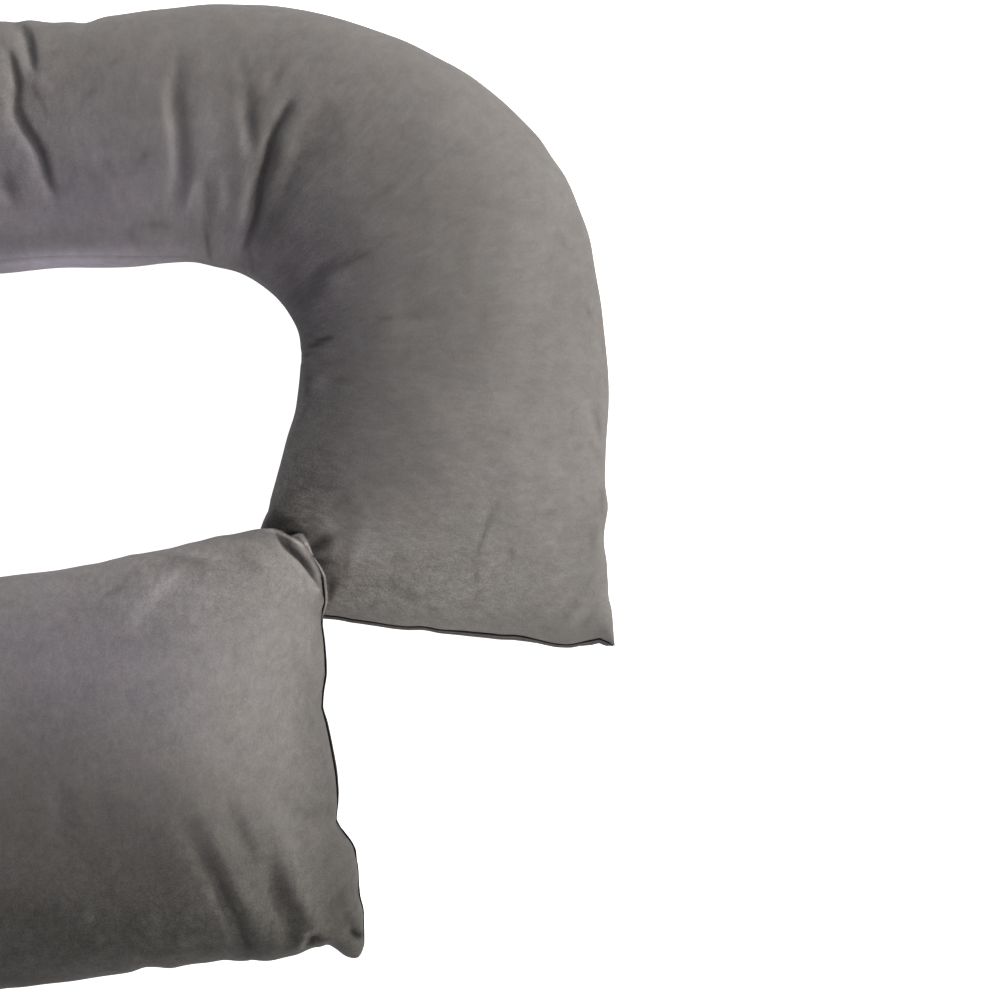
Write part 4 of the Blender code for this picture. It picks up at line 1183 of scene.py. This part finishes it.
# Clouds that vary the velvet's tone: their noise, the part of it that counts, and the tone that
# this part gives.
Cloud = namedtuple("Cloud", "scale detail roughness distortion low high start end")
BROAD = Cloud(14, 3, 0.5, 0, 0.3, 0.7, 0.95, 1.05)
SOFT = Cloud(60, 3, 0.55, 0.6, 0.3, 0.7, 0.93, 1.07)
STREAKS = Cloud(170, 5, 0.68, 0.4, 0.3, 0.7, -0.10, 0.10)
TUFTS = Cloud(160, 4, 0.65, 0.5, 0.3, 0.7, -0.12, 0.12)
GRAIN = Cloud(700, 2, 0.65, 0, 0.25, 0.75, -0.21, 0.21)
SMUDGES = Cloud(95, 4, 0.55, 1, 0.58, 0.74, 0, -0.10)
# How strongly the streaks and the tufts show, from how ruffled the pile is.
STREAKED = (0, 2, 0.45, 2.45)
TOUSLED = (1.1, 2, 0, 1.1)
WARM, COOL = (1.0, 0.992, 0.972, 1.0), (0.984, 0.992, 1.0, 1.0)


def velvet(name, colour):
    material = bpy.data.materials.new(name)
    material.use_nodes = True
    tree = material.node_tree
    where = add_node(tree, "ShaderNodeTexCoord", {}).outputs["Object"]
    # The painted shade and light, with how ruffled the pile is in its alpha.
    painted_layer = add_node(tree, "ShaderNodeVertexColor", {}, layer_name="painted_shading")
    way = add_node(tree, "ShaderNodeAttribute", {}, attribute_name="lie").outputs["Vector"]

    def clouded(scale, detail, roughness=0.5, distortion=0, place=where):
        inputs = {"Vector": place, "Scale": scale, "Detail": detail}
        inputs |= {"Roughness": roughness, "Distortion": distortion}
        return add_node(tree, "ShaderNodeTexNoise", inputs).outputs["Fac"]

    def toned(cloud, place=where):
        return ramp(tree, clouded(*cloud[:4], place), *cloud[4:])

    def varied(variation, amount):
        """A factor of 1 plus a variation that grows with how ruffled the pile is."""
        inputs = {0: variation, 1: amount, 2: 1}
        return add_node(tree, "ShaderNodeMath", inputs, operation="MULTIPLY_ADD").outputs[0]

    def scaled(a, b, operation="MULTIPLY", key=1):
        inputs = {0: a, key: b}
        return add_node(tree, "ShaderNodeVectorMath", inputs, operation=operation).outputs[0]

    ruffle = painted_layer.outputs["Alpha"]
    value = toned(BROAD)
    for factor in (
        toned(SOFT),
        varied(toned(STREAKS, way), ramp(tree, ruffle, *STREAKED)),
        varied(toned(TUFTS), ramp(tree, ruffle, *TOUSLED)),
        varied(toned(GRAIN), ruffle),
        varied(toned(SMUDGES), ruffle),
    ):
        inputs = {0: value, 1: factor}
        value = add_node(tree, "ShaderNodeMath", inputs, operation="MULTIPLY").outputs[0]
    drift = add_node(tree, "ShaderNodeValToRGB", {"Fac": clouded(32, 3)})
    warm, cool = drift.color_ramp.elements
    warm.position, warm.color = 0.35, WARM
    cool.position, cool.color = 0.65, COOL
    # The base colour times the painted shade and light, with a random warm and cool drift.
    painted_colour = scaled(scaled(painted_layer.outputs["Color"], colour), drift.outputs["Color"])
    inputs = {"Strength": 0.25, "Distance": 0.0006, "Height": clouded(1100, 2, 0.6)}
    pile = add_node(tree, "ShaderNodeBump", inputs)
    inputs = {
        "Roughness": 0.85,
        "Specular IOR Level": 0.15,
        "Sheen Weight": 0.12,
        "Sheen Roughness": 0.45,
        "Sheen Tint": (0.95, 0.92, 0.90, 1.0),
        "Base Color": scaled(painted_colour, value, "SCALE", "Scale"),
        "Normal": pile.outputs["Normal"],
    }
    feed(tree, tree.nodes["Principled BSDF"], inputs)
    return material


PANEL_COLOUR, LIP_COLOUR = (0.1905, 0.180, 0.167), (0.170, 0.161, 0.151)
main_velvet = velvet("velvet", PANEL_COLOUR)
edge_velvet = velvet("lip_velvet", LIP_COLOUR)
cover.data.materials.append(main_velvet)
short_lip.data.materials.append(edge_velvet)
long_lip.data.materials.append(edge_velvet)

for piece, node, slot in (
    (cover, "pillow", "velvet"),
    (short_lip, "closing_lip_short_arm", "lip_velvet"),
    (long_lip, "closing_lip_long_arm", "lip_velvet"),
):
    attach(piece, "root")
    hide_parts(node)

# ---- Studio ----
# The view's middle and height in the sections' own coordinates.
VIEW_MIDDLE = np.array((0.469, 0.0032, 0.085))
VIEW_DISTANCE, VIEW_WIDTH, SENSOR = 2.1, 0.8, 36.0

camera_data = bpy.data.cameras.new("camera")
camera_data.sensor_width = SENSOR
camera_data.lens = SENSOR * VIEW_DISTANCE / VIEW_WIDTH
camera = bpy.data.objects.new("camera", camera_data)
camera.location = on_frame(VIEW_MIDDLE) + (0, 0, VIEW_DISTANCE)
bpy.context.scene.collection.objects.link(camera)
bpy.context.scene.camera = camera

SOFTBOX_SIZE = 0.8
SKY_BAND, SKY_LOW, SKY_HIGH = 0.4, 0.12, 0.42
SKY_COLOUR = (0.95, 0.93, 1.0, 1.0)
FLOOR_HALF, FLOOR_DROP = 6, 0.0005


def softbox(name, place, target, watts, colour):
    data = bpy.data.lights.new(name, "AREA")
    data.shape = "RECTANGLE"
    data.size = data.size_y = SOFTBOX_SIZE
    data.energy = watts
    data.color = colour
    made = bpy.data.objects.new(name, data)
    made.location = place
    made.rotation_mode = "QUATERNION"
    made.rotation_quaternion = (Vector(target) - Vector(place)).to_track_quat("-Z", "Y")
    bpy.context.scene.collection.objects.link(made)


softbox("key", (2.0, 1.3, 0.95), (0.25, 0.0, 0.08), 42.0, (1.0, 0.98, 0.95))
softbox("low_right", (1.45, -1.75, 0.9), (0.35, 0.0, 0.08), 16.0, (1.0, 0.985, 0.96))
softbox("far_end", (0.5, 2.0, 0.95), (0.2, 0.1, 0.08), 9.0, (0.97, 0.97, 1.0))

world = bpy.data.worlds.new("world")
world.use_nodes = True
sky = world.node_tree
direction = add_node(sky, "ShaderNodeTexCoord", {}).outputs["Generated"]
height = add_node(sky, "ShaderNodeSeparateXYZ", {"Vector": direction}).outputs["Z"]
lift = ramp(sky, height, -SKY_BAND, SKY_BAND, SKY_LOW, SKY_HIGH)
feed(sky, sky.nodes["Background"], {"Color": SKY_COLOUR, "Strength": lift})
bpy.context.scene.world = world

floor_mesh = bpy.data.meshes.new("floor")
near, far = -FLOOR_HALF, FLOOR_HALF
floor_corners = [(near, near, 0), (far, near, 0), (far, far, 0), (near, far, 0)]
floor_mesh.from_pydata(floor_corners, [], [(0, 1, 2, 3)])
floor = bpy.data.objects.new("floor", floor_mesh)
floor.location = (0, 0, -FLOOR_DROP)
floor.visible_diffuse = False
bpy.context.scene.collection.objects.link(floor)
paper = bpy.data.materials.new("paper")
paper.use_nodes = True
inputs = {
    "Base Color": (0.9, 0.9, 0.9, 1.0),
    "Roughness": 0.9,
    "Specular IOR Level": 0.0,
    "Emission Color": (1.0, 1.0, 1.0, 1.0),
    "Emission Strength": 1.0,
}
feed(paper.node_tree, paper.node_tree.nodes["Principled BSDF"], inputs)
floor_mesh.materials.append(paper)

bpy.context.scene.view_settings.view_transform = "Standard"
